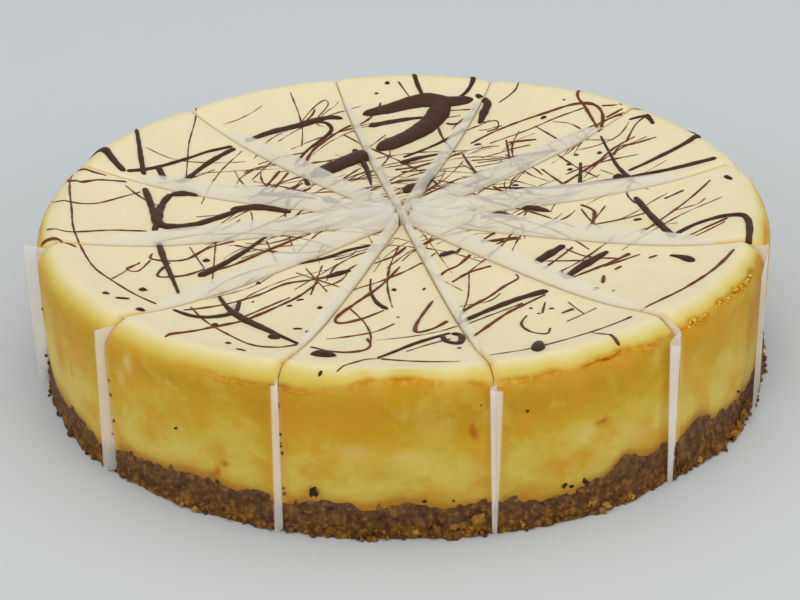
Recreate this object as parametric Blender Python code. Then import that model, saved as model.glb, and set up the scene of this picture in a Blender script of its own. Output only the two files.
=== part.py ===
"""A round baked cheesecake, cut into twelve slices that still stand together.

Each slice is a wedge of filling on a wedge of crumb crust, and a paper divider
stands in each cut. The top has sunk inside a raised rim, and ribbons of dark
chocolate lie across it. Metres, +Z up, origin on the table under the middle.
"""

import math

import bmesh
import bpy

MM = 0.001

# The cake as a whole, in millimetres
SLICES = 12
CAKE_RADIUS = 117.0
RIM_HEIGHT = 51.0
FIRST_CUT = 12.0            # degrees from +X, seen from above
SLICE_ANGLE = 360.0 / SLICES

# The top: a rounded shoulder, a crest, and a middle that sank as it cooled
SHOULDER_WIDTH = 8.0
SHOULDER_DEPTH = 9.0
SINK = 7.0
SINK_POWER = 4.5
RIM_WAVE = 0.5
LIP_GROOVE = 0.7            # depth of the crack where the pale top ends
LIP_TURN = 40.0             # how far round the shoulder the crack lies, in degrees up from the side

# The crust: crumbs pressed flat, and pushed up the side of the tin
CRUST_FLOOR = 8.0
CRUST_EDGE = 10.6
CRUST_HILLS = [             # bearing and spread in degrees, rise in millimetres
    (-142, 4, -2.0), (-121, 6, 3.0), (-104, 3, 2.0), (-91, 3, 2.4), (-71, 5, -2.4),
    (-58, 3, 5.0), (-50, 6, 2.4), (-43, 3, 5.4), (-29, 6, -1.0), (60, 25, 2.5), (150, 20, 2.0),
]
CRUST_UPTURN = 12.0         # how far in from the side the crust starts to climb
CRUST_RELIEF = 0.9

# The cuts, and the paper that stands in each
PAPER_THICKNESS = 0.4
PAPER_REACH = 121.0
PAPER_START = 2.4
PAPER_FOOT = 1.5
PAPER_TOP = 50.6
TOUCHING_GAP = 0.3
CUT_INSET = PAPER_THICKNESS / 2 + TOUCHING_GAP
TRIM = 0.1                  # what is trimmed off a cut face once its ribbons are joined
TIP_RADIUS = 5.0

# How finely each wedge is divided
COLUMNS = 10
RIBBON_STEP = 4.5
RIBBON_SIDES = 2            # gives a round of eight sides

COLOURS = {
    "filling": (0.83, 0.62, 0.20, 0.45),
    "crust": (0.22, 0.11, 0.05, 0.8),
    "paper": (0.86, 0.86, 0.82, 0.7),
}

# Chocolate ribbons thick enough to stand up from the top: width, then the
# points that each runs through, in millimetres from the middle of the cake
RIBBONS = {
    "broad_arch": (5.0, [(-13, 85), (-2, 90), (9, 95), (18, 92.5), (27, 93.5)]),
    "broad_arch_inner": (3.4, [(-8, 85), (2, 89), (9, 89.5)]),
    "broad_tail": (6.4, [(16, 91), (13, 82), (6, 70), (-7, 58), (-17, 49), (-27, 38)]),
    "arch_end": (3.2, [(26, 93), (32, 91), (33, 84), (29.5, 75)]),
    "rim_left_of_arch": (2.0, [(8.5, 95), (6.5, 102), (6.5, 109)]),
    "rim_right_of_arch": (2.2, [(19, 94), (25, 98), (27, 108)]),
    "under_arch": (2.8, [(-9, 75.5), (-2, 79), (9, 81)]),
    "middle_long": (1.9, [(1, 50), (9, 58), (16, 63), (22, 71)]),
    "upper_left": (2.5, [(-53, 63), (-42, 72), (-32, 79), (-22, 82)]),
    "upper_left_return": (2.0, [(-26, 79), (-25, 71), (-30, 58), (-36, 46)]),
    "left_sweep": (2.2, [(-58, 59), (-70, 51), (-81, 41), (-92, 34.5)]),
    "left_rim_loop": (3.0, [(-92, 34.5), (-98, 40), (-102, 47)]),
    "left_rise": (2.0, [(-87, 34), (-89, 46), (-91, 60)]),
    "left_inner": (2.4, [(-58, 58), (-65, 46), (-72, 32)]),
    "left_drop": (2.6, [(-85, 24), (-82, 9), (-79, -7)]),
    "left_hook": (3.6, [(-74, 20), (-78.5, 15), (-78, -1), (-70, -3), (-55, 8), (-46, 12), (-37, 9)]),
    "lower_left_bar": (2.4, [(-77, -14), (-73, -30), (-67, -52)]),
    "lower_left_slash": (2.4, [(-44, -10), (-50, -21), (-58, -33), (-62.5, -38.5)]),
    "front_left_bar": (3.0, [(-54, -53), (-50, -65), (-39, -81), (-30, -88)]),
    "front_left_arc": (2.0, [(-67, -64), (-59, -68), (-51, -64), (-49, -54)]),
    "inner_left_line": (1.9, [(-31, -29), (-22, -24), (-11, -18)]),
    "front_slash": (2.0, [(34, -44), (25, -55), (16, -68), (17, -78)]),
    "front_slash_wide": (2.2, [(41, -54), (30, -60), (17, -73)]),
    "right_short_bar": (2.6, [(50, -22), (41, -33.5)]),
    "right_bar": (3.0, [(62.5, -28.5), (56, -37), (49.5, -45)]),
    "right_drop": (2.8, [(76, 9), (79, -6), (83.5, -20.5)]),
    "right_hook": (2.2, [(84, -20), (95, -16), (104, -16.5), (107, -24), (105, -33)]),
    "right_sweep": (2.6, [(72, 25), (88, 34), (97, 40), (101, 49)]),
    "right_level": (2.4, [(74, 24.5), (89, 26.5), (104, 28.5)]),
    "right_post": (3.0, [(73, 40), (72, 31), (70, 24)]),
    "right_dark_dash": (3.4, [(28, 1.5), (34, 2.5), (41, 0)]),
    "right_dark_dash_upper": (3.0, [(40, 6), (47, 3.5)]),
    "centre_blot": (4.6, [(2, 21), (5, 29)]),
    "centre_blot_right": (3.4, [(7, 25), (10, 37)]),
    "centre_left_dash": (2.6, [(-15.5, 57), (-12, 47), (-10, 38)]),
    "left_dash": (2.6, [(-81, 39), (-79, 32)]),
    "back_left_thatch": (2.2, [(-44, 24), (-37, 21.5), (-29, 19.5)]),
    "lower_right_arc": (2.2, [(-9, -98), (2, -89), (12, -81)]),
}

# Drops that fell beside the ribbons: width, length, where, and which way
DROPS = {
    "front_right_drop": (3.4, 5.5, (37, -97), 85),
    "right_drop_blot": (4.4, 2.0, (87, -41), 110),
    "front_left_drop": (4.6, 2.0, (-23, -97.5), 90),
    "front_curl": (5.0, 2.0, (13.5, -86), 60),
    "left_bar_drop": (3.0, 2.4, (-38, -83), 80),
}


def wave(angle, terms):
    """A smooth unevenness round the cake: a sum of (turns, size, phase) sines."""
    return sum(size * math.sin(turns * angle + phase) for turns, size, phase in terms)


def rim_height(angle):
    return RIM_HEIGHT + RIM_WAVE * wave(angle, [(3, 0.6, 0.4), (7, 0.5, 2.1), (11, 0.4, 4.0)])


def top_height(radius, angle):
    """Height of the top inside the crest of the rim."""
    crest = CAKE_RADIUS - SHOULDER_WIDTH
    share = min(radius / crest, 1.0) ** SINK_POWER
    fade = min(radius / crest, 1.0) ** 2
    return RIM_HEIGHT - SINK * (1 - share) + (rim_height(angle) - RIM_HEIGHT) * fade


def side_radius(angle, height):
    return CAKE_RADIUS + 0.35 * wave(angle, [(5, 0.7, 1.0), (9, 0.5, 0.2)]) - 0.9 * (1 - height / RIM_HEIGHT) ** 2


def crust_edge_height(angle):
    """How high the crumbs climb the side: an even band with hills in it."""
    hills = sum(
        rise * math.exp(-((math.degrees(math.remainder(angle - math.radians(at), math.tau)) / width) ** 2))
        for at, width, rise in CRUST_HILLS
    )
    return CRUST_EDGE + hills + wave(angle, [(8, 0.3, 0.3), (19, 0.4, 1.4), (31, 0.3, 5.0)])


def layer_height(radius, angle):
    """Top of the crust, which turns up near the side."""
    share = max(0.0, (radius - (CAKE_RADIUS - CRUST_UPTURN)) / CRUST_UPTURN)
    return CRUST_FLOOR + (crust_edge_height(angle) - CRUST_FLOOR) * share ** 2


def crag(angle, height):
    """Relief of the pressed crumbs on the outside of the crust."""
    grain = wave(angle, [(47, 0.5, height), (83, 0.35, 2.2 * height), (29, 0.5, 0.7 * height)])
    return CRUST_RELIEF * grain


def filling_profile(angle):
    """Outline of the filling in one upright plane through the axis: (radius, height)."""
    crest = CAKE_RADIUS - SHOULDER_WIDTH
    rim = rim_height(angle)
    shoulder_foot = rim - SHOULDER_DEPTH
    edge = layer_height(CAKE_RADIUS, angle) + TOUCHING_GAP
    points = []
    for radius in (TIP_RADIUS, 60.0, CAKE_RADIUS - CRUST_UPTURN, CAKE_RADIUS - CRUST_UPTURN / 2):
        points.append((radius, layer_height(radius, angle) + TOUCHING_GAP))
    for share in (0.0, 0.5):
        height = edge + (shoulder_foot - edge) * share
        points.append((side_radius(angle, height), height))
    side = side_radius(angle, shoulder_foot)
    for turn, groove in ((0, 0), (22, 0), (LIP_TURN - 5, 0), (LIP_TURN, LIP_GROOVE), (LIP_TURN + 6, 0), (68, 0), (90, 0)):
        reach = math.cos(math.radians(turn))
        rise = math.sin(math.radians(turn))
        points.append((crest + (side - crest - groove) * reach, shoulder_foot + (SHOULDER_DEPTH - groove) * rise))
    for radius in (103.0, 96.0, 87.0, 74.0, 52.0, 28.0, TIP_RADIUS):
        points.append((radius, top_height(radius, angle)))
    return points


def crust_profile(angle):
    edge = layer_height(CAKE_RADIUS, angle)
    points = [(TIP_RADIUS, 0.0), (60.0, 0.0), (CAKE_RADIUS - 3.0, 0.0)]
    for share in (0.12, 0.42, 0.72):
        height = edge * share
        points.append((side_radius(angle, height) + 0.4 + crag(angle, height), height))
    points.append((side_radius(angle, edge), edge))
    for radius in (CAKE_RADIUS - CRUST_UPTURN / 2, CAKE_RADIUS - CRUST_UPTURN, 60.0, TIP_RADIUS):
        points.append((radius, layer_height(radius, angle)))
    return points


def on_slice(middle, across, radius, height, inset):
    """A point of a slice. across runs from -1 to 1, from one cut face to the other."""
    half = math.radians(SLICE_ANGLE / 2) - math.asin(inset / radius)
    angle = middle + across * half
    return (radius * math.cos(angle) * MM, radius * math.sin(angle) * MM, height * MM)


def wedge_mesh(name, middle, profile, inset):
    """A closed wedge: the same outline at each column across the slice, joined and capped.

    Each four-sided patch is split from its inner corner to its outer one, so that
    the top of the crust and the foot of the filling fold the same way.
    """
    bm = bmesh.new()
    rings = []
    for column in range(COLUMNS + 1):
        across = 2 * column / COLUMNS - 1
        angle = middle + across * math.radians(SLICE_ANGLE / 2)
        outline = profile(angle)
        rings.append([bm.verts.new(on_slice(middle, across, r, z, inset)) for r, z in outline])
    for one, two in zip(rings, rings[1:]):
        for i in range(len(one)):
            j = (i + 1) % len(one)
            if outline[i][0] <= outline[j][0]:
                bm.faces.new((one[i], one[j], two[j]))
                bm.faces.new((one[i], two[j], two[i]))
            else:
                bm.faces.new((one[i], one[j], two[i]))
                bm.faces.new((one[j], two[j], two[i]))
    bm.faces.new(list(reversed(rings[0])))
    bm.faces.new(rings[-1])
    return finished_mesh(bm, name)


def finished_mesh(bm, name):
    bmesh.ops.triangulate(bm, faces=bm.faces[:])
    bmesh.ops.recalc_face_normals(bm, faces=bm.faces[:])
    mesh = bpy.data.meshes.new(name)
    bm.to_mesh(mesh)
    bm.free()
    mesh.shade_smooth()
    mesh.set_sharp_from_angle(angle=math.radians(35))
    return mesh


def trim_prism(name, middle):
    """The wedge of space that a slice may fill, from under the table to above the rim."""
    corners = [(TIP_RADIUS * 0.9, -1), (150.0, -1), (150.0, 1), (TIP_RADIUS * 0.9, 1)]
    bm = bmesh.new()
    floor, roof = [
        [bm.verts.new(on_slice(middle, across, r, z, CUT_INSET)) for r, across in corners]
        for z in (-5.0, 70.0)
    ]
    bm.faces.new(list(reversed(floor)))
    bm.faces.new(roof)
    for i in range(4):
        j = (i + 1) % 4
        bm.faces.new((floor[i], floor[j], roof[j], roof[i]))
    prism = bpy.data.objects.new(name, finished_mesh(bm, name))
    bpy.context.scene.collection.objects.link(prism)
    prism.hide_render = True
    prism.display_type = "WIRE"
    return prism


def smooth_line(points, step):
    """Points at even steps along a Catmull-Rom curve through the given ones."""
    padded = [points[0], *points, points[-1]]
    line = []
    for a, b, c, d in zip(padded, padded[1:], padded[2:], padded[3:]):
        count = max(1, round(math.dist(b, c) / step))
        for i in range(count):
            t = i / count
            line.append(tuple(
                0.5 * (2 * q + (r - p) * t + (2 * p - 5 * q + 4 * r - s) * t ** 2 + (3 * q - p - 3 * r + s) * t ** 3)
                for p, q, r, s in zip(a, b, c, d)
            ))
    return [*line, points[-1]]


def ribbon(name, width, points):
    """A tube of chocolate sunk in the top, so that only its rounded crown stands up."""
    line = smooth_line(points, RIBBON_STEP)
    curve = bpy.data.curves.new(name, "CURVE")
    curve.dimensions = "3D"
    curve.bevel_depth = width / 2 * MM
    curve.bevel_resolution = RIBBON_SIDES
    curve.use_fill_caps = True
    spline = curve.splines.new("POLY")
    spline.points.add(len(line) - 1)
    for i, (x, y) in enumerate(line):
        height = top_height(math.hypot(x, y), math.atan2(y, x)) - 0.12 * width
        spline.points[i].co = (x * MM, y * MM, height * MM, 1)
        spline.points[i].radius = 0.55 if i in (0, len(line) - 1) else 1.0
    guide = bpy.data.objects.new(name, curve)
    bpy.context.scene.collection.objects.link(guide)
    bpy.context.view_layer.update()
    mesh = bpy.data.meshes.new_from_object(guide.evaluated_get(bpy.context.evaluated_depsgraph_get()))
    bpy.data.objects.remove(guide)
    bm = bmesh.new()
    bm.from_mesh(mesh)
    bmesh.ops.remove_doubles(bm, verts=bm.verts[:], dist=0.01 * MM)
    return finished_mesh(bm, name), line


def drop_points(length, at, heading):
    dx = math.cos(math.radians(heading)) * length / 2
    dy = math.sin(math.radians(heading)) * length / 2
    return [(at[0] - dx, at[1] - dy), at, (at[0] + dx, at[1] + dy)]


def reaches(middle, line, width):
    """Whether a ribbon touches the slice: some point of it is inside, or nearly."""
    for x, y in line:
        off = math.remainder(math.atan2(y, x) - middle, math.tau)
        past = math.hypot(x, y) * math.sin(max(0.0, abs(off) - math.radians(SLICE_ANGLE / 2)))
        if abs(off) < math.radians(60) and past < width / 2 + RIBBON_STEP:
            return True
    return False


def apply_boolean(obj, operation, **operand):
    step = obj.modifiers.new(operation.lower(), "BOOLEAN")
    step.operation = operation
    step.solver = "MANIFOLD"
    for key, value in operand.items():
        setattr(step, key, value)
    bpy.context.view_layer.update()
    mesh = bpy.data.meshes.new_from_object(obj.evaluated_get(bpy.context.evaluated_depsgraph_get()))
    obj.modifiers.clear()
    obj.data = mesh


def keep_largest(obj):
    """Drops any loose scrap that trimming left beside the slice."""
    bm = bmesh.new()
    bm.from_mesh(obj.data)
    left = set(bm.verts)
    shells = []
    while left:
        shell, fresh = set(), [left.pop()]
        while fresh:
            vert = fresh.pop()
            shell.add(vert)
            for edge in vert.link_edges:
                other = edge.other_vert(vert)
                if other in left:
                    left.remove(other)
                    fresh.append(other)
        shells.append(shell)
    shells.sort(key=len)
    scraps = [vert for shell in shells[:-1] for vert in shell]
    bmesh.ops.delete(bm, geom=scraps, context="VERTS")
    bm.to_mesh(obj.data)
    bm.free()


def join_ribbons(filling, middle, chocolate):
    """Fuses the ribbons that cross this slice to its top, then trims them at the cuts."""
    pile = bpy.data.collections.new("ribbons_on_" + filling.name)
    bpy.context.scene.collection.children.link(pile)
    for mesh, line, width in chocolate:
        if reaches(middle, line, width):
            pile.objects.link(bpy.data.objects.new(mesh.name, mesh))
    if pile.objects:
        apply_boolean(filling, "UNION", operand_type="COLLECTION", collection=pile)
    for piece in list(pile.objects):
        bpy.data.objects.remove(piece)
    bpy.data.collections.remove(pile)
    prism = trim_prism("trim_" + filling.name, middle)
    apply_boolean(filling, "INTERSECT", object=prism)
    bpy.data.objects.remove(prism)
    keep_largest(filling)


def paper_mesh(name, angle):
    """A divider: an upright rectangle of paper in the cut, proud of the side and of the sunken top."""
    bm = bmesh.new()
    bmesh.ops.create_cube(bm, size=1.0)
    bmesh.ops.scale(bm, verts=bm.verts[:], vec=(
        (PAPER_REACH - PAPER_START) * MM, PAPER_THICKNESS * MM, (PAPER_TOP - PAPER_FOOT) * MM))
    bmesh.ops.translate(bm, verts=bm.verts[:], vec=(
        (PAPER_REACH + PAPER_START) / 2 * MM, 0, (PAPER_TOP + PAPER_FOOT) / 2 * MM))
    return finished_mesh(bm, name)


def material(name):
    red, green, blue, roughness = COLOURS[name]
    made = bpy.data.materials.new(name)
    made.use_nodes = True
    shader = made.node_tree.nodes["Principled BSDF"]
    shader.inputs["Base Color"].default_value = (red, green, blue, 1)
    shader.inputs["Roughness"].default_value = roughness
    shader.inputs["Metallic"].default_value = 0
    return made


def add(name, mesh, look, parent):
    obj = bpy.data.objects.new(name, mesh)
    bpy.context.scene.collection.objects.link(obj)
    obj.data.materials.clear()
    obj.data.materials.append(look)
    obj.parent = parent
    return obj


def main():
    for obj in list(bpy.data.objects):
        bpy.data.objects.remove(obj)
    looks = {name: material(name) for name in COLOURS}
    cake = bpy.data.objects.new("cake", None)
    bpy.context.scene.collection.objects.link(cake)

    strokes = dict(RIBBONS)
    for name, (width, length, at, heading) in DROPS.items():
        strokes[name] = (width, drop_points(length, at, heading))
    chocolate = []
    for name, (width, points) in strokes.items():
        mesh, line = ribbon(name, width, points)
        chocolate.append((mesh, line, width))

    for k in range(SLICES):
        cut = math.radians(FIRST_CUT + k * SLICE_ANGLE)
        middle = cut + math.radians(SLICE_ANGLE / 2)
        number = f"{k + 1:02d}"
        crust = wedge_mesh("crust_" + number, middle, crust_profile, CUT_INSET)
        add("crust_" + number, crust, looks["crust"], cake)
        body = wedge_mesh("filling_" + number, middle, filling_profile, CUT_INSET - TRIM)
        filling = add("filling_" + number, body, looks["filling"], cake)
        join_ribbons(filling, middle, chocolate)
        paper = add("paper_" + number, paper_mesh("paper_" + number, cut), looks["paper"], cake)
        paper.rotation_euler.z = cut


main()
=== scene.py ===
import math
import random

import bmesh
import bpy
import numpy as np
from mathutils import Matrix, Vector, noise


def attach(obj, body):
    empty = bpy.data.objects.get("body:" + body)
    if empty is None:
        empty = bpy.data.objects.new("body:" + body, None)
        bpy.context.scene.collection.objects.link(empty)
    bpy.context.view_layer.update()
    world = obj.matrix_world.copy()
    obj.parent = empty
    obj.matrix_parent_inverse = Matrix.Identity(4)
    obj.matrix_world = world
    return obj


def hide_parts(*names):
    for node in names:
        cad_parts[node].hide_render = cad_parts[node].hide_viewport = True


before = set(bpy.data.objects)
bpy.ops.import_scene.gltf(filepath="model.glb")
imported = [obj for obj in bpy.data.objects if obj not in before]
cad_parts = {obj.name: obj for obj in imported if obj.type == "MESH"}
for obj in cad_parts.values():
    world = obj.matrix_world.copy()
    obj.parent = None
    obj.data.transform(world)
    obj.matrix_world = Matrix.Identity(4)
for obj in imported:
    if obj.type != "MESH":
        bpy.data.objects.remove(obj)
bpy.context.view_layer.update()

SLICES = [f"{k:02d}" for k in range(1, 13)]


# The filling: twelve wedges of baked cream cheese filling. The middle of the top
# sank as it cooled and stayed pale, the rim stayed up and rounded, and the skin
# tore in a crooked line where the rim meets the side, which the tin browned.
MM = 0.001
RADIUS = 117.0
RIM = 51.0
CREST = 109.0
SINK = 7.0
SINK_POWER = 4.5
SHOULDER_DEPTH = 9.0
FIRST_CUT = 12.0
SLICE = 30.0
CUT_HALF = 0.35             # from the middle of a cut to the filling
TIP = 3.0


def srgb(code):
    """An sRGB hex colour such as #E8DFB9 as linear RGBA."""
    parts = [int(code[i:i + 2], 16) / 255 for i in (1, 3, 5)]
    return (*[c / 12.92 if c <= 0.04045 else ((c + 0.055) / 1.055) ** 2.4 for c in parts], 1.0)


def node(tree, kind, inputs=None, give=None, stops=(), **settings):
    """Adds a node with its settings and links, and gives one of its outputs.

    inputs holds a value or another node's output for each socket, by name or number;
    stops are a colour ramp's positions in rising order, each with a hex colour or a grey.
    """
    made = tree.nodes.new(kind)
    for key, value in settings.items():
        setattr(made, key, value)
    for key, value in (inputs or {}).items():
        named = (s for s in made.inputs if s.enabled and s.name == key)
        socket = made.inputs[key] if isinstance(key, int) else next(named)
        if isinstance(value, bpy.types.NodeSocket):
            tree.links.new(value, socket)
        else:
            socket.default_value = value
    for place, (position, tone) in enumerate(stops):
        keys = made.color_ramp.elements
        key = keys[place] if place < len(keys) else keys.new(position)
        key.position = position
        key.color = srgb(tone) if isinstance(tone, str) else (tone, tone, tone, 1)
    return next((s for s in made.outputs if s.enabled and give in (None, s.name)), None)


def waves(angle, *terms):
    """Smooth unevenness round the cake: a sum of sines, each (turns, size, phase)."""
    return sum(size * np.sin(turns * angle + phase) for turns, size, phase in terms)


def bump_at(angle, degrees, width):
    """1 at one bearing round the cake, falling away smoothly to each side."""
    off = np.degrees(np.angle(np.exp(1j * (angle - math.radians(degrees)))))
    return np.exp(-((off / width) ** 2))


def bumps_at(angle, bumps):
    """The sum of some bumps, each (bearing and spread in degrees, size)."""
    return sum(size * bump_at(angle, degrees, width) for degrees, width, size in bumps)


def polar(points):
    """Each point's distance from the middle of the cake, and its bearing."""
    return np.hypot(points[:, 0], points[:, 1]), np.arctan2(points[:, 1], points[:, 0])


def rim_at(angle):
    return RIM + waves(angle, (3, 0.3, 0.4), (7, 0.25, 2.1), (11, 0.2, 4.0))


def to_cut(radius, angle):
    """Distance in millimetres to the middle of the nearest cut."""
    turn = (np.degrees(angle) - FIRST_CUT) / SLICE
    off = np.radians((turn - np.round(turn)) * SLICE)
    return np.abs(radius * np.sin(off))


def cut_half(radius):
    """Half the width of a cut: it closes up a little towards the rim."""
    return CUT_HALF - 0.2 * np.clip((radius - 78) / 25, 0, 1)


def off_cut(radius, angle):
    """Distance in millimetres from the cut face of a slice."""
    return np.maximum(to_cut(radius, angle) - cut_half(radius), 0)


# How deep the notch in the rim is at each cut, from the first one round, in millimetres.
NOTCHES = np.array([0.9, 1.0, 0.8, 1.0, 1.1, 0.9, 0.8, 1.6, 0.6, 0.4, 3.0, 1.4])


def edge_drop(radius, angle):
    """How far the knife pulled the top down beside a cut: a little inside, a notch at the rim."""
    beside = off_cut(radius, angle)
    near_rim = np.clip((radius - 99) / 16, 0, 1) ** 2
    notch = NOTCHES[np.round((np.degrees(angle) - FIRST_CUT) / SLICE).astype(int) % 12]
    return 0.5 * np.exp(-beside / 0.8) + notch * near_rim * np.exp(-beside / 2.1)


def top_at(radius, angle):
    """Height of the cream, in millimetres: the sunken top, and the shoulder beyond its crest."""
    share = np.clip(radius / CREST, 0, 1)
    flat = RIM - SINK * (1 - share ** SINK_POWER) + (rim_at(angle) - RIM) * share ** 2
    x, y = radius * np.cos(angle), radius * np.sin(angle)
    rolling = 0.22 * np.sin(x / 13 + 1.3) * np.sin(y / 17 + 0.4) + 0.12 * np.sin(x / 6.1 + y / 7.3)
    down = np.clip((radius - CREST) / (RADIUS - CREST), 0, 1)
    shoulder = SHOULDER_DEPTH * (1 - np.sqrt(1 - down ** 2))
    return flat + rolling * share * (radius < CREST) - shoulder - edge_drop(radius, angle)


def side_at(angle, height):
    """Radius of the side at that height."""
    return RADIUS + waves(angle, (5, 0.25, 1.0), (9, 0.18, 0.2)) - 0.9 * (1 - height / RIM) ** 2


CRUST_HILLS = [             # bearing and spread in degrees, rise in millimetres
    (-142, 4, -2.0), (-121, 6, 3.0), (-104, 3, 2.0), (-91, 3, 2.4), (-71, 5, -2.4), (-58, 3, 5.0),
    (-50, 6, 2.4), (-43, 3, 5.4), (-29, 6, -1.0), (60, 25, 2.5), (150, 20, 2.0),
]


def crust_edge_at(angle):
    """How high the crumbs climb the side: an even band with hills in it."""
    small = waves(angle, (8, 0.3, 0.3), (19, 0.4, 1.4), (31, 0.3, 5.0), (61, 0.12, 0.6))
    return 10.6 + bumps_at(angle, CRUST_HILLS) + small


def crust_top_at(radius, angle):
    share = np.clip((radius - 105) / 12, 0, 1)
    return 8.0 + (crust_edge_at(angle) - 8.0) * share ** 2


def grain(points, size, seed):
    """Smooth noise from -1 to 1 at each point, with features of about that size in millimetres."""
    shift = Vector((seed * 17.3, seed * 5.1, seed * 9.7))
    return np.array([noise.noise(Vector(p) / size + shift) for p in points])


def wedge_grid(profile, middle, columns, half):
    """Points of a wedge, column by column, and the profile's own marks for each point."""
    most = math.pi / 2 * 0.86                       # columns stand closer together by the cuts
    rings, marks = [], []
    for u in np.sin(np.linspace(-most, most, columns + 1)) / math.sin(most):
        angle = middle + u * math.radians(SLICE / 2)
        outline = profile(angle)
        radius = outline[:, 0]
        turn = middle + u * (math.radians(SLICE / 2) - np.arcsin(half(radius) / radius))
        rings.append(np.column_stack([radius * np.cos(turn), radius * np.sin(turn), outline[:, 1]]))
        marks.append(outline[:, 2:])
    return np.array(rings), np.array(marks)


def finished(mesh, crease):
    """Turns the faces outwards and smooths the shading, but for edges sharper than that."""
    bm = bmesh.new()
    bm.from_mesh(mesh)
    bmesh.ops.recalc_face_normals(bm, faces=bm.faces[:])
    bm.to_mesh(mesh)
    bm.free()
    mesh.shade_smooth()
    mesh.set_sharp_from_angle(angle=math.radians(crease))
    return mesh


def wedge_mesh(name, rings, marks, mark_names):
    """A closed mesh from the rings: skin between them, and a flat face on each cut."""
    columns, count = rings.shape[:2]
    points = rings.reshape(-1, 3)
    faces = []
    for c in range(columns - 1):
        for i in range(count):
            j = (i + 1) % count
            faces.append((c * count + i, c * count + j, (c + 1) * count + j, (c + 1) * count + i))
    faces.append(tuple(range(count - 1, -1, -1)))
    faces.append(tuple((columns - 1) * count + i for i in range(count)))
    mesh = bpy.data.meshes.new(name)
    mesh.from_pydata((points * MM).tolist(), [], faces)
    for mark, values in zip(mark_names, marks.reshape(-1, len(mark_names)).T):
        layer = mesh.attributes.new(mark, "FLOAT", "POINT")
        layer.data.foreach_set("value", values.astype(np.float32))
    mesh.validate()
    return finished(mesh, 50)


def crack_turn_at(angle):
    """Where the pale skin ends: how far up the rounding of the shoulder, in degrees from the side."""
    wander = waves(angle, (4, 2.5, 0.9), (13, 2.6, 2.2), (29, 2.4, 0.1), (57, 1.5, 1.9), (97, 0.9, 0.3))
    return 39 + bumps_at(angle, [(-110, 8, -13), (-92, 6, 20), (-40, 5, 6)]) + wander


TEARS = [                   # bearing and spread in degrees, and how open the crack is there
    (-34, 20, 0.75), (-64, 12, 0.4), (-90, 14, 0.3), (-112, 6, 0.45), (70, 35, 0.5), (165, 18, 0.3),
]


def torn_at(angle):
    """How open the crack is: from 0, where the skin runs on unbroken, to about 1."""
    breaks = 0.5 + 0.5 * np.clip(waves(angle, (23, 0.8, 0.5), (41, 0.6, 2.0), (67, 0.5, 1.1)), -1, 1)
    return 0.03 + bumps_at(angle, TEARS) * (0.2 + 0.95 * breaks)


def filling_profile(angle):
    """(radius, height, skin, climb, crack) round a slice in one upright plane.

    skin is 1 on the pale top and falls to 0 down the side; climb runs from 0 at the
    crust to 1 where the shoulder starts to round; crack is 1 deep inside the crack.
    """
    rim = float(rim_at(angle))
    turn_up = math.radians(float(crack_turn_at(angle)))
    torn = float(torn_at(angle))
    foot = float(crust_top_at(RADIUS, angle)) - 1.2
    waist = rim - SHOULDER_DEPTH
    rows = []
    for radius in np.linspace(TIP, 105, 12):
        rows.append((radius, float(crust_top_at(radius, angle)), 0.0, 0.3, 0.0))
    for radius in (109.0, 113.0, 116.0):
        rows.append((radius, float(crust_top_at(radius, angle)) - 1.2, 0.0, 0.0, 0.0))
    for climb in np.linspace(0, 1, 32):
        height = foot + (waist - foot) * climb
        rows.append((float(side_at(angle, height)), height, 0.0, climb, 0.0))
    side = float(side_at(angle, waist))

    def on_shoulder(turn, inward=0.0):
        reach = side - CREST - inward
        return CREST + reach * math.cos(turn), waist + (SHOULDER_DEPTH - inward) * math.sin(turn)

    broken = min(1.0, 2.2 * torn)
    behind = float(np.clip(0.5 + 0.9 * math.sin(angle), 0, 1))

    def skin_at(turn, where_torn):
        """Unbroken skin shades off smoothly round the shoulder; torn skin ends at the crack."""
        smooth = 0.9 * min(1.0, turn / (1.45 - 0.6 * behind)) ** 1.12
        return smooth + (where_torn - smooth) * broken

    for share in (0.2, 0.4, 0.55, 0.66, 0.74):
        turn = turn_up * share
        rows.append((*on_shoulder(turn), skin_at(turn, 0.0), 1.0, 0.0))
    for past in np.linspace(-0.15, 0.15, 13):
        inward = 1.1 * math.exp(-((past / 0.06) ** 2)) * torn
        band = math.exp(-(((past + 0.04) / 0.16) ** 2)) * min(1.0, 1.6 * torn)
        skin = 0.42 / (1 + math.exp(-(past - 0.03) / 0.02))
        rows.append((*on_shoulder(turn_up + past, inward), skin_at(turn_up + past, skin), 1.0, band))
    start = turn_up + 0.18
    lag = 0.75 + 1.9 * float(bump_at(angle, -92, 14))
    for step in np.linspace(0, 1, 16):
        turn = start + (math.pi / 2 - start) * step
        skin = skin_at(turn, 0.44 + 0.46 * step ** lag)
        rows.append((*on_shoulder(turn, -0.15 * torn * (1 - step)), skin, 1.0, 0.0))
    for radius in np.concatenate([np.linspace(107.5, 92, 12), np.linspace(89, 8, 42), [TIP]]):
        rows.append((radius, np.nan, 1.0, 1.0, 0.0))
    return np.array(rows)


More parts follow.
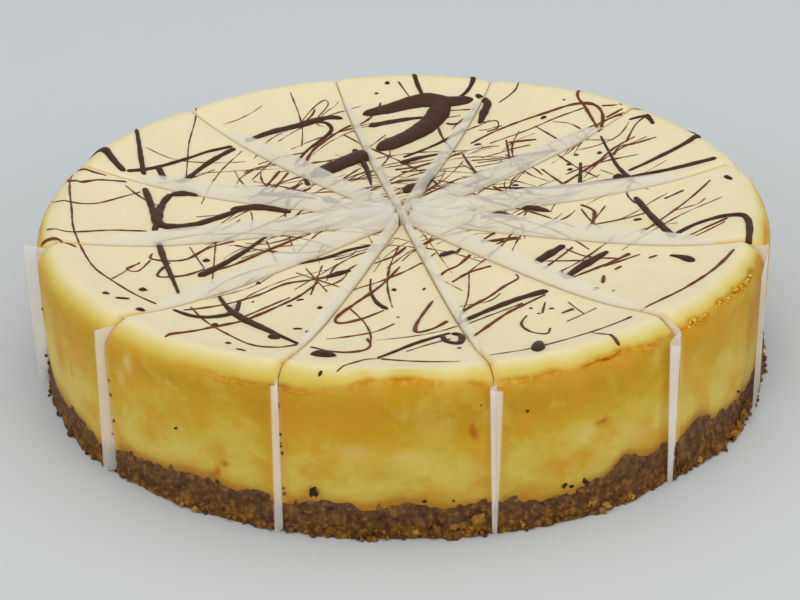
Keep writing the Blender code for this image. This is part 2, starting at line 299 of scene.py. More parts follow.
def shape_filling(rings, marks):
    """Adds the sunken top, the pulled-down cut edges and the small unevenness of a baked surface."""
    points = rings.reshape(-1, 3).copy()
    skin, _, crack = marks.reshape(-1, 3).T
    radius, angle = polar(points)
    top = np.isnan(points[:, 2])
    points[top, 2] = top_at(radius[top], angle[top])
    shoulder = ~top & (radius > 108) & (points[:, 2] > RIM - SHOULDER_DEPTH - 0.5)
    loose = np.clip(skin[shoulder] * 1.3 + 0.1, 0, 1)
    points[shoulder, 2] -= edge_drop(radius[shoulder], angle[shoulder]) * loose
    high = np.clip((points[:, 2] - 38) / 10, 0, 1)
    pull = np.where(~top & (radius > 110), (0.1 + high) * np.exp(-off_cut(radius, angle) / 1.6), 0)
    lumps = 0.30 * grain(points, 9.0, 1) + 0.14 * grain(points, 3.0, 2)
    move = np.where(~top & (radius > 112), lumps, 0) - pull
    torn = crack > 0
    along = np.column_stack([angle * RADIUS / 3.2, points[:, 2], np.zeros(len(points))])[torn]
    ragged = 0.9 * grain(along, 1.5, 3) + 0.6 * grain(along, 3.8, 4) + 0.35 * grain(points[torn], 1.3, 6)
    move[torn] += ragged * crack[torn]
    points[torn, 2] += grain(along, 2.6, 5) * crack[torn]
    points[:, :2] *= (1 + move / np.maximum(radius, 1))[:, None]
    return points.reshape(rings.shape)


def add_piece(name, mesh, look, replaced=None):
    piece = bpy.data.objects.new(name, mesh)
    bpy.context.scene.collection.objects.link(piece)
    mesh.materials.clear()
    mesh.materials.append(look)
    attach(piece, "root")
    if replaced:
        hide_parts(replaced)
    return piece


def new_material(name):
    made = bpy.data.materials.new(name)
    made.use_nodes = True
    made.node_tree.nodes.clear()
    return made, made.node_tree


def per_mm(size):
    """Texture scale that makes a noise feature about that many millimetres across."""
    return 1 / (size * MM)


# Baked cream cheese filling: dense and satin, with light going a little way in.
# Pale cream where only the oven's air touched it, gold where the tin did.
# Each point of it is marked with filling_profile's three shares, its distance from a cut as a share, which
# places the painted shade along the cut edges, and how strongly it is stained orange and pale.
MARKS = ["skin", "climb", "crack", "cut", "browned", "paled"]
cheese, tree = new_material("baked_cream_cheese")
place = node(tree, "ShaderNodeTexCoord", give="Object")
skin, climb, crack, cut, browned, paled = (
    node(tree, "ShaderNodeAttribute", give="Fac", attribute_name=name) for name in MARKS
)
patches, clouds, blotches, curds, rags, fine = (
    node(tree, "ShaderNodeTexNoise", {
        "Vector": place, "Scale": per_mm(size), "Detail": detail, "Roughness": rough})
    for size, detail, rough in (
        (16, 2.0, 0.5), (12, 3.0, 0.6), (6, 3.0, 0.55), (2.4, 3.0, 0.55), (2.2, 4.0, 0.65), (1.2, 3.0, 0.5))
)
sway = node(tree, "ShaderNodeMapRange", {"Value": patches, "To Min": -0.42, "To Max": 0.42})
uneven = node(tree, "ShaderNodeMath", {0: climb, 1: sway}, operation="ADD")
side = node(tree, "ShaderNodeValToRGB", {"Fac": uneven}, stops=[
    (0.0, "#C5A436"), (0.10, "#C8AD44"), (0.28, "#CCB752"), (0.48, "#CAB044"),
    (0.64, "#C7A32A"), (0.82, "#C29614"), (1.0, "#BE8E08")])
lower = node(tree, "ShaderNodeMapRange", {
    "Value": uneven, "From Min": 0.35, "From Max": 0.95, "To Min": 1.0, "To Max": 0.15})
flecks = node(tree, "ShaderNodeValToRGB", {"Fac": curds}, stops=[(0.52, 0.0), (0.64, 0.22), (0.75, 0.4)])
flecks = node(tree, "ShaderNodeMath", {0: flecks, 1: lower}, operation="MULTIPLY")
side = node(tree, "ShaderNodeMix", {"Factor": flecks, "A": side, "B": srgb("#D8C86E")}, data_type="RGBA")
# Warm patches and paler ones, the orange and pale stains, and the edge along the crust.
for source, stops, tint in (
        (clouds, [(0.30, 0.9), (0.42, 0.5), (0.53, 0.0)], "#CA9216"),
        (clouds, [(0.54, 0.0), (0.68, 0.45)], "#D2BA58"),
        (browned, [(0.0, 0.0), (0.3, 0.3), (0.8, 1.0)], "#B4680C"),
        (paled, [(0.0, 0.0), (0.9, 0.75)], "#D9C880"),
        (climb, [(0.03, 0.95), (0.06, 0.7), (0.10, 0.25), (0.17, 0.0)], "#A87418")):
    share = node(tree, "ShaderNodeValToRGB", {"Fac": source}, stops=stops)
    side = node(tree, "ShaderNodeMix", {"Factor": share, "A": side, "B": srgb(tint)}, data_type="RGBA")
share = node(tree, "ShaderNodeValToRGB", {"Fac": patches}, stops=[(0.3, 0.0), (0.7, 0.6)])
pale = node(tree, "ShaderNodeMix", {
    "Factor": share, "A": srgb("#E8DAB1"), "B": srgb("#ECE0BA")}, data_type="RGBA")
ripple = node(tree, "ShaderNodeMapRange", {"Value": blotches, "To Min": -0.06, "To Max": 0.06})
ripple = node(tree, "ShaderNodeMath", {0: skin, 1: ripple}, operation="ADD")
shoulder = node(tree, "ShaderNodeValToRGB", {"Fac": ripple}, stops=[
    (0.0, "#BE8C12"), (0.22, "#C49C2C"), (0.42, "#CDB248"), (0.55, "#D5C066"),
    (0.68, "#DCCD86"), (0.80, "#E2D5A0"), (0.92, "#E7DAAE"), (1.0, "#EADDB4")])
share = node(tree, "ShaderNodeValToRGB", {"Fac": skin}, stops=[(0.93, 0.0), (1.0, 1.0)])
shoulder = node(tree, "ShaderNodeMix", {"Factor": share, "A": shoulder, "B": pale}, data_type="RGBA")
share = node(tree, "ShaderNodeValToRGB", {"Fac": ripple}, stops=[(0.0, 0.0), (0.06, 0.15), (0.42, 1.0)])
colour = node(tree, "ShaderNodeMix", {"Factor": share, "A": side, "B": shoulder}, data_type="RGBA")
# Inside the crack: orange, partly the baked inside of the tear and partly painted shade of its recess under
# the lip.
opened = node(tree, "ShaderNodeValToRGB", {"Fac": crack}, stops=[(0.0, 0.0), (0.25, 0.45), (0.7, 0.9)])
inside = node(tree, "ShaderNodeValToRGB", {"Fac": rags}, stops=[
    (0.34, "#B46C06"), (0.48, "#C4820A"), (0.60, "#D09A20"), (0.74, "#DDBB58")])
colour = node(tree, "ShaderNodeMix", {"Factor": opened, "A": colour, "B": inside}, data_type="RGBA")
# Painted shade along the cut edges: gold where the top rounds down into a cut, strongest at the front near
# the rim.
cut_edge_shade = node(tree, "ShaderNodeValToRGB", {"Fac": cut}, stops=[(0.0, 0.8), (0.4, 0.45), (1.0, 0.0)])
colour = node(tree, "ShaderNodeMix", {"Factor": cut_edge_shade, "A": colour, "B": srgb("#D8B45C")}, data_type="RGBA")
relief = node(tree, "ShaderNodeBump", {"Strength": 0.3, "Distance": 0.0004, "Height": fine})
relief = node(tree, "ShaderNodeBump", {
    "Strength": 0.3, "Distance": 0.0012, "Height": blotches, "Normal": relief})
raggedly = node(tree, "ShaderNodeMath", {0: opened, 1: 0.8}, operation="MULTIPLY")
relief = node(tree, "ShaderNodeBump", {
    "Strength": raggedly, "Distance": 0.0008, "Height": rags, "Normal": relief})
satin = node(tree, "ShaderNodeValToRGB", {"Fac": blotches}, stops=[(0.3, 0.42), (0.7, 0.55)])
surface = node(tree, "ShaderNodeBsdfPrincipled", {
    "Base Color": colour, "Roughness": satin, "Normal": relief, "IOR": 1.42, "Specular IOR Level": 0.25,
    "Subsurface Weight": 0.35, "Subsurface Radius": (1.0, 0.6, 0.25), "Subsurface Scale": 0.003})
node(tree, "ShaderNodeOutputMaterial", {"Surface": surface})

# Marks baked into the side, in order: bearing in degrees, height, spread round the
# side and up it in millimetres, and strength. Orange is above 0, pale is below.
STAINS = [
    (-118.4, 13.4, 1.6, 2.0, 1.0), (-117.6, 15.8, 1.0, 1.8, 0.8), (-116.4, 18.8, 1.6, 0.9, 0.9),
    (-62.6, 29.0, 1.9, 0.7, 0.9), (-61.9, 29.8, 0.9, 0.8, 0.7), (-81.3, 35.2, 0.9, 2.2, 0.9),
    (-80.9, 33.0, 1.2, 1.5, 0.7), (-94.0, 21.0, 7.0, 3.0, 0.28), (-97.5, 28.5, 5.0, 2.6, -0.5),
    (-90.0, 27.0, 6.0, 2.0, -0.4), (-132.8, 42.0, 1.8, 3.2, -0.8), (-134.5, 36.0, 1.4, 3.0, -0.5),
    (-153.0, 30.0, 1.0, 2.5, 0.4), (-149.0, 26.0, 1.0, 3.0, 0.4), (-64.5, 26.0, 3.0, 3.0, -0.45),
    (-55.0, 21.0, 4.0, 2.0, -0.4), (-35.0, 27.0, 3.0, 4.0, -0.4), (-70.0, 18.0, 6.0, 2.2, 0.28),
    (-79.0, 17.0, 5.0, 2.4, 0.3), (-86.0, 14.0, 7.0, 2.0, 0.3), (-72.0, 12.5, 6.0, 2.0, 0.3),
    (-62.0, 16.0, 3.0, 1.6, 0.25), (-108.0, 40.0, 9.0, 4.0, 0.2), (-88.0, 39.0, 9.0, 3.0, 0.2),
]
dice = random.Random(3)
for _ in range(30):
    bearing, height = dice.uniform(0, 200), dice.uniform(14, 40)
    wide, tall = dice.uniform(0.8, 5), dice.uniform(0.8, 3)
    STAINS.append((bearing, height, wide, tall, dice.choice((0.3, -0.5, 0.5, -0.4))))


def stain_at(points):
    """Strength of the baked-in marks at each point, from -1, pale, to 1, orange."""
    angle = polar(points)[1]
    total = np.zeros(len(points))
    for bearing, height, wide, tall, strength in STAINS:
        off = np.angle(np.exp(1j * (angle - math.radians(bearing)))) * RADIUS
        total += strength * np.exp(-((off / wide) ** 2) - ((points[:, 2] - height) / tall) ** 2)
    return total


for k, number in enumerate(SLICES):
    middle = math.radians(FIRST_CUT + SLICE * (k + 0.5))
    rings, marks = wedge_grid(filling_profile, middle, 104, cut_half)
    rings = shape_filling(rings, marks)
    points = rings.reshape(-1, 3)
    radius, angle = polar(points)
    stain = stain_at(points)
    # The cut mark spreads wider towards the front near the rim and fades at the back; the shader paints shade
    # along the cut edges with it.
    front = 0.35 + 0.65 * np.clip(0.5 - points[:, 1] / 60, 0, 1)
    wide = 0.7 + 1.4 * front * np.clip((radius - 88) / 20, 0, 1)
    past_cut = off_cut(radius, angle) / wide + 0.6 * (1 - front)
    extra = np.clip(np.column_stack([past_cut, stain, -stain]), 0, 1).reshape(marks.shape)
    mesh = wedge_mesh("slice_filling_" + number, rings, np.concatenate([marks, extra], axis=2), MARKS)
    add_piece("slice_filling_" + number, mesh, cheese, "filling_" + number)


# The crust: cookie crumbs bound with butter, pressed into the tin and baked hard.
# It is dark and close-grained, and its foot is broken into golden crumbs.
def spill_at(angle):
    """How far the crumbs spill out at the foot, in millimetres."""
    heaps = bumps_at(angle, [(-62, 14, 1.6), (-34, 14, 1.9), (130, 30, 0.6)])
    return 0.5 + heaps + waves(angle, (17, 0.25, 0.3), (29, 0.2, 1.0))


def crust_profile(angle):
    """(radius, height, relief) round a slice's crust in one upright plane.

    Its face stands a little proud below and dips into the filling at the top, so
    that the crumbs end in an uneven line.
    """
    edge = float(crust_top_at(RADIUS, angle)) + 1.0
    spill = float(spill_at(angle))
    rows = [(radius, 0.0, 0.0) for radius in np.linspace(TIP, 112, 8)]
    rows.append((116.0 + spill, 0.0, 0.6))
    for share in np.linspace(0.03, 0.99, 24):
        proud = 0.4 - 0.85 * max(0.0, (share - 0.62) / 0.38) ** 1.6 + spill * (1 - share) ** 1.8
        rows.append((float(side_at(angle, edge * share)) + proud, edge * share, 1.0))
    rows.append((115.5, edge - 1.2, 0.0))
    rows += [(radius, float(crust_top_at(radius, angle)) - 0.1, 0.0) for radius in np.linspace(113, TIP, 9)]
    return np.array(rows)


crumb, tree = new_material("pressed_cookie_crumb")
place = node(tree, "ShaderNodeTexCoord", give="Object")
height = node(tree, "ShaderNodeSeparateXYZ", {0: place}, give="Z")
coarse = node(tree, "ShaderNodeTexNoise", {"Vector": place, "Scale": per_mm(5.5), "Detail": 3.0})
bits = node(tree, "ShaderNodeTexNoise", {
    "Vector": place, "Scale": per_mm(1.8), "Detail": 3.0, "Roughness": 0.6})
grit = node(tree, "ShaderNodeTexVoronoi", {"Vector": place, "Scale": per_mm(1.9), "Randomness": 1.0})
body = node(tree, "ShaderNodeValToRGB", {"Fac": coarse}, stops=[
    (0.32, "#3C220C"), (0.43, "#583012"), (0.52, "#523818"), (0.62, "#6A4820"), (0.72, "#7A5628")])
greyed = node(tree, "ShaderNodeMapRange", {
    "Value": height, "From Min": 0.004, "From Max": 0.011, "To Max": 0.55})
upper = node(tree, "ShaderNodeValToRGB", {"Fac": bits}, stops=[(0.35, "#563C1E"), (0.65, "#725634")])
low = node(tree, "ShaderNodeMapRange", {
    "Value": height, "From Min": 0.0, "From Max": 0.008, "To Min": 0.36, "To Max": -0.5})
low = node(tree, "ShaderNodeMath", {0: low, 1: coarse}, operation="ADD")
toasted = node(tree, "ShaderNodeValToRGB", {"Fac": low}, stops=[(0.36, 0.0), (0.52, 0.45), (0.70, 0.85)])
foot = node(tree, "ShaderNodeValToRGB", {"Fac": grit}, stops=[
    (0.1, "#A0721E"), (0.35, "#845616"), (0.6, "#54340F")])
dark = node(tree, "ShaderNodeValToRGB", {"Fac": bits}, stops=[(0.30, 0.9), (0.43, 0.0)])
light = node(tree, "ShaderNodeValToRGB", {"Fac": bits}, stops=[(0.54, 0.0), (0.64, 0.75)])
for share, tint in ((greyed, upper), (toasted, foot), (dark, srgb("#2E1A0E")), (light, srgb("#8E6020"))):
    body = node(tree, "ShaderNodeMix", {"Factor": share, "A": body, "B": tint}, data_type="RGBA")
packed = node(tree, "ShaderNodeBump", {"Strength": 0.8, "Distance": 0.0012, "Height": bits})
packed = node(tree, "ShaderNodeBump", {"Strength": 0.4, "Distance": 0.0008, "Height": grit, "Normal": packed})
moist = node(tree, "ShaderNodeValToRGB", {"Fac": coarse}, stops=[(0.3, 0.5), (0.7, 0.75)])
surface = node(tree, "ShaderNodeBsdfPrincipled", {
    "Base Color": body, "Roughness": moist, "Normal": packed, "Specular IOR Level": 0.2})
node(tree, "ShaderNodeOutputMaterial", {"Surface": surface})

OUTERMOST = 118.2           # nothing reaches out past the solid parts' own box
for k, number in enumerate(SLICES):
    middle = math.radians(FIRST_CUT + SLICE * (k + 0.5))
    rings, marks = wedge_grid(crust_profile, middle, 110, lambda radius: CUT_HALF + 0 * radius)
    points = rings.reshape(-1, 3).copy()
    low = np.clip(1 - points[:, 2] / 5, 0, 1)
    rough = 0.5 * grain(points, 5.0, 11) + 0.55 * grain(points, 2.2, 12) + 1.2 * low * grain(points, 3.4, 13)
    scale = 1 + marks.reshape(-1) * np.clip(rough, -1.6, 0.8) / polar(points)[0]
    points[:, :2] = np.clip(points[:, :2] * scale[:, None], -OUTERMOST, OUTERMOST)
    mesh = wedge_mesh("slice_crust_" + number, points.reshape(rings.shape), marks, ["relief"])
    add_piece("slice_crust_" + number, mesh, crumb, "crust_" + number)


# The dividers: a strip of greaseproof paper folded in half and pushed into each cut,
# fold down. Its two leaves stand just above the sunken top and a little out of the side.
greaseproof, tree = new_material("greaseproof_paper")
place = node(tree, "ShaderNodeTexCoord", give="Object")
fibres = node(tree, "ShaderNodeTexNoise", {"Vector": place, "Scale": per_mm(2.5), "Detail": 4.0})
creased = node(tree, "ShaderNodeTexNoise", {"Vector": place, "Scale": per_mm(6), "Detail": 2.0})
tone = node(tree, "ShaderNodeValToRGB", {"Fac": fibres}, stops=[(0.3, "#F8F7F4"), (0.7, "#FCFBF9")])
creases = node(tree, "ShaderNodeBump", {"Strength": 0.12, "Distance": 0.0004, "Height": creased})
sheet = node(tree, "ShaderNodeBsdfPrincipled", {
    "Base Color": tone, "Normal": creases, "Roughness": 0.6, "Specular IOR Level": 0.3})
glow = node(tree, "ShaderNodeBsdfTranslucent", {"Color": srgb("#FDFCF9"), "Normal": creases})
sheet = node(tree, "ShaderNodeMixShader", {0: 0.5, 1: sheet, 2: glow})
clear = node(tree, "ShaderNodeBsdfTransparent")
surface = node(tree, "ShaderNodeMixShader", {0: 0.44, 1: clear, 2: sheet})
node(tree, "ShaderNodeOutputMaterial", {"Surface": surface})

# For each cut, from the first one round, in millimetres: where the top edge starts to
# slope down, its height at the outer end, the outer end's radius, and how far the free
# end turns sideways out of the cut, first and last: at its top, then at its foot.
DIVIDERS = [
    (88, 46.0, 119.6, (0.8, -0.8), (0.4, 0.6)),
    (86, 46.5, 119.4, (-0.6, 0.6), (-0.3, -0.5)),
    (87, 45.0, 119.4, (0.5, -0.6), (0.4, 0.5)),
    (88, 46.0, 119.4, (0.6, 1.0), (0.2, -0.6)),
    (84, 45.5, 119.4, (-0.5, -0.8), (-0.4, 0.6)),
    (86, 47.0, 119.6, (0.4, 0.9), (0.3, -0.5)),
    (92, 50.4, 119.9, (-0.6, -1.0), (-1.0, -2.0)),
    (95, 49.8, 119.8, (0.6, 0.5), (-0.4, -2.2)),
    (98, 49.2, 119.8, (1.3, 0.2), (0.2, -1.2)),
    (96, 47.6, 120.2, (-2.0, 0.9), (-1.6, -0.8)),
    (110, 46.6, 120.2, (-6.6, -4.2), (-5.2, -5.2)),
    (94, 50.6, 118.3, (-9.0, -22.0), (-9.0, -24.0)),
]


def divider_mesh(name, start, dip, end_top, reach, top_turns, foot_turns, seed):
    """Two leaves joined by a fold at the bottom, swept from the middle of the cake outwards."""
    in_cut, free_steps, up_steps = 56, 16, 14
    mouth = 116.6                                   # where the sheet comes out of the cut
    fold = 1.6
    buried = 47.9                                   # how high it stands where the rim hides it
    cream = RIM - SINK - 0.5
    hugging = 0.35 if abs(top_turns[1]) > 8 else 1.0
    rows = []
    for i in range(in_cut + free_steps + 1):
        free = max(0.0, (i - in_cut) / free_steps)
        r = start + (mouth - start) * min(i, in_cut) / in_cut + (reach - mouth) * free ** hugging
        crown = 49.2 + 1.2 * min(1.0, r / 45) + 0.2 * math.sin(r / 15 + seed)
        if dip < 100:                               # lost below the rim, and out again beyond it
            sunk = min(1.0, max(0.0, (r - dip) / 9))
            top = crown + (buried - crown) * sunk + (end_top - buried) * max(0.0, (r - 111) / (reach - 111))
        else:
            sunk = max(0.0, (r - dip) / (reach - dip))
            top = crown + (end_top - crown) * sunk ** 1.3
        foot_turn, top_turn = (
            (first - last * 0.25) * 4 * free * (1 - free) + last * free ** 2
            for first, last in (foot_turns, top_turns)
        )
        ring = []
        for side, steps in ((-1, range(up_steps, -1, -1)), (1, range(up_steps + 1))):
            for step in steps:
                h = step / up_steps
                z = fold + (top - fold) * h
                above = max(0.0, z - cream) / 6.5 * (1 - sunk) * min(1.0, r / 12)
                sway = above * (0.25 * math.sin(r / 17 + seed * 1.7) + 0.18 * math.sin(r / 6.3 + seed))
                apart = 0.1 + 0.1 * above * (1 + math.sin(r / 12 + seed * 2.2)) + 0.06 * free
                y = side * (apart if step else 0.02) + foot_turn + (top_turn - foot_turn) * h + sway
                ring.append((r * MM, y * MM, z * MM))
        rows.append(ring)
    width = len(ring)
    faces = []
    for i in range(len(rows) - 1):
        for j in range(i * width, (i + 1) * width - 1):
            faces.append((j, j + 1, j + width + 1, j + width))
    mesh = bpy.data.meshes.new(name)
    mesh.from_pydata([point for ring in rows for point in ring], [], faces)
    mesh.validate()
    mesh.shade_smooth()
    return mesh


THROUGH = (3, 9)            # the two dividers that meet in the middle; the others stop beside them
for k, number in enumerate(SLICES):
    start = 0.6 if k in THROUGH else 3.4 + 1.2 * math.sin(k * 1.9)
    mesh = divider_mesh("divider_" + number, start, *DIVIDERS[k], k * 2.3)
    mesh.transform(Matrix.Rotation(math.radians(FIRST_CUT + SLICE * k), 4, "Z"))
    add_piece("divider_" + number, mesh, greaseproof, "paper_" + number)


# The chocolate: dark chocolate melted and thrown from a spoon in quick passes, set
# firm. Thick ribbons stand up round from the cream; the threads are hair-thin.
chocolate, tree = new_material("dark_chocolate")
place = node(tree, "ShaderNodeTexCoord", give="Object")
streaks = node(tree, "ShaderNodeTexNoise", {"Vector": place, "Scale": per_mm(3.0), "Detail": 3.0})
wavy = node(tree, "ShaderNodeTexNoise", {"Vector": place, "Scale": per_mm(1.6), "Detail": 2.0})
tone = node(tree, "ShaderNodeValToRGB", {"Fac": streaks}, stops=[(0.3, "#381E10"), (0.7, "#482A18")])
gloss = node(tree, "ShaderNodeValToRGB", {"Fac": streaks}, stops=[(0.3, 0.38), (0.7, 0.52)])
ripples = node(tree, "ShaderNodeBump", {"Strength": 0.3, "Distance": 0.0003, "Height": wavy})
surface = node(tree, "ShaderNodeBsdfPrincipled", {
    "Base Color": tone, "Roughness": gloss, "Normal": ripples, "Specular IOR Level": 0.18})
node(tree, "ShaderNodeOutputMaterial", {"Surface": surface})

thin_chocolate, tree = new_material("dark_chocolate_thin")
place = node(tree, "ShaderNodeTexCoord", give="Object")
streaks = node(tree, "ShaderNodeTexNoise", {"Vector": place, "Scale": per_mm(2.0), "Detail": 2.0})
tone = node(tree, "ShaderNodeValToRGB", {"Fac": streaks}, stops=[(0.3, "#5C2A10"), (0.7, "#763A18")])
surface = node(tree, "ShaderNodeBsdfPrincipled", {
    "Base Color": tone, "Roughness": 0.45, "Specular IOR Level": 0.2,
    "Subsurface Weight": 0.15, "Subsurface Radius": (1.0, 0.35, 0.15), "Subsurface Scale": 0.0004})
node(tree, "ShaderNodeOutputMaterial", {"Surface": surface})

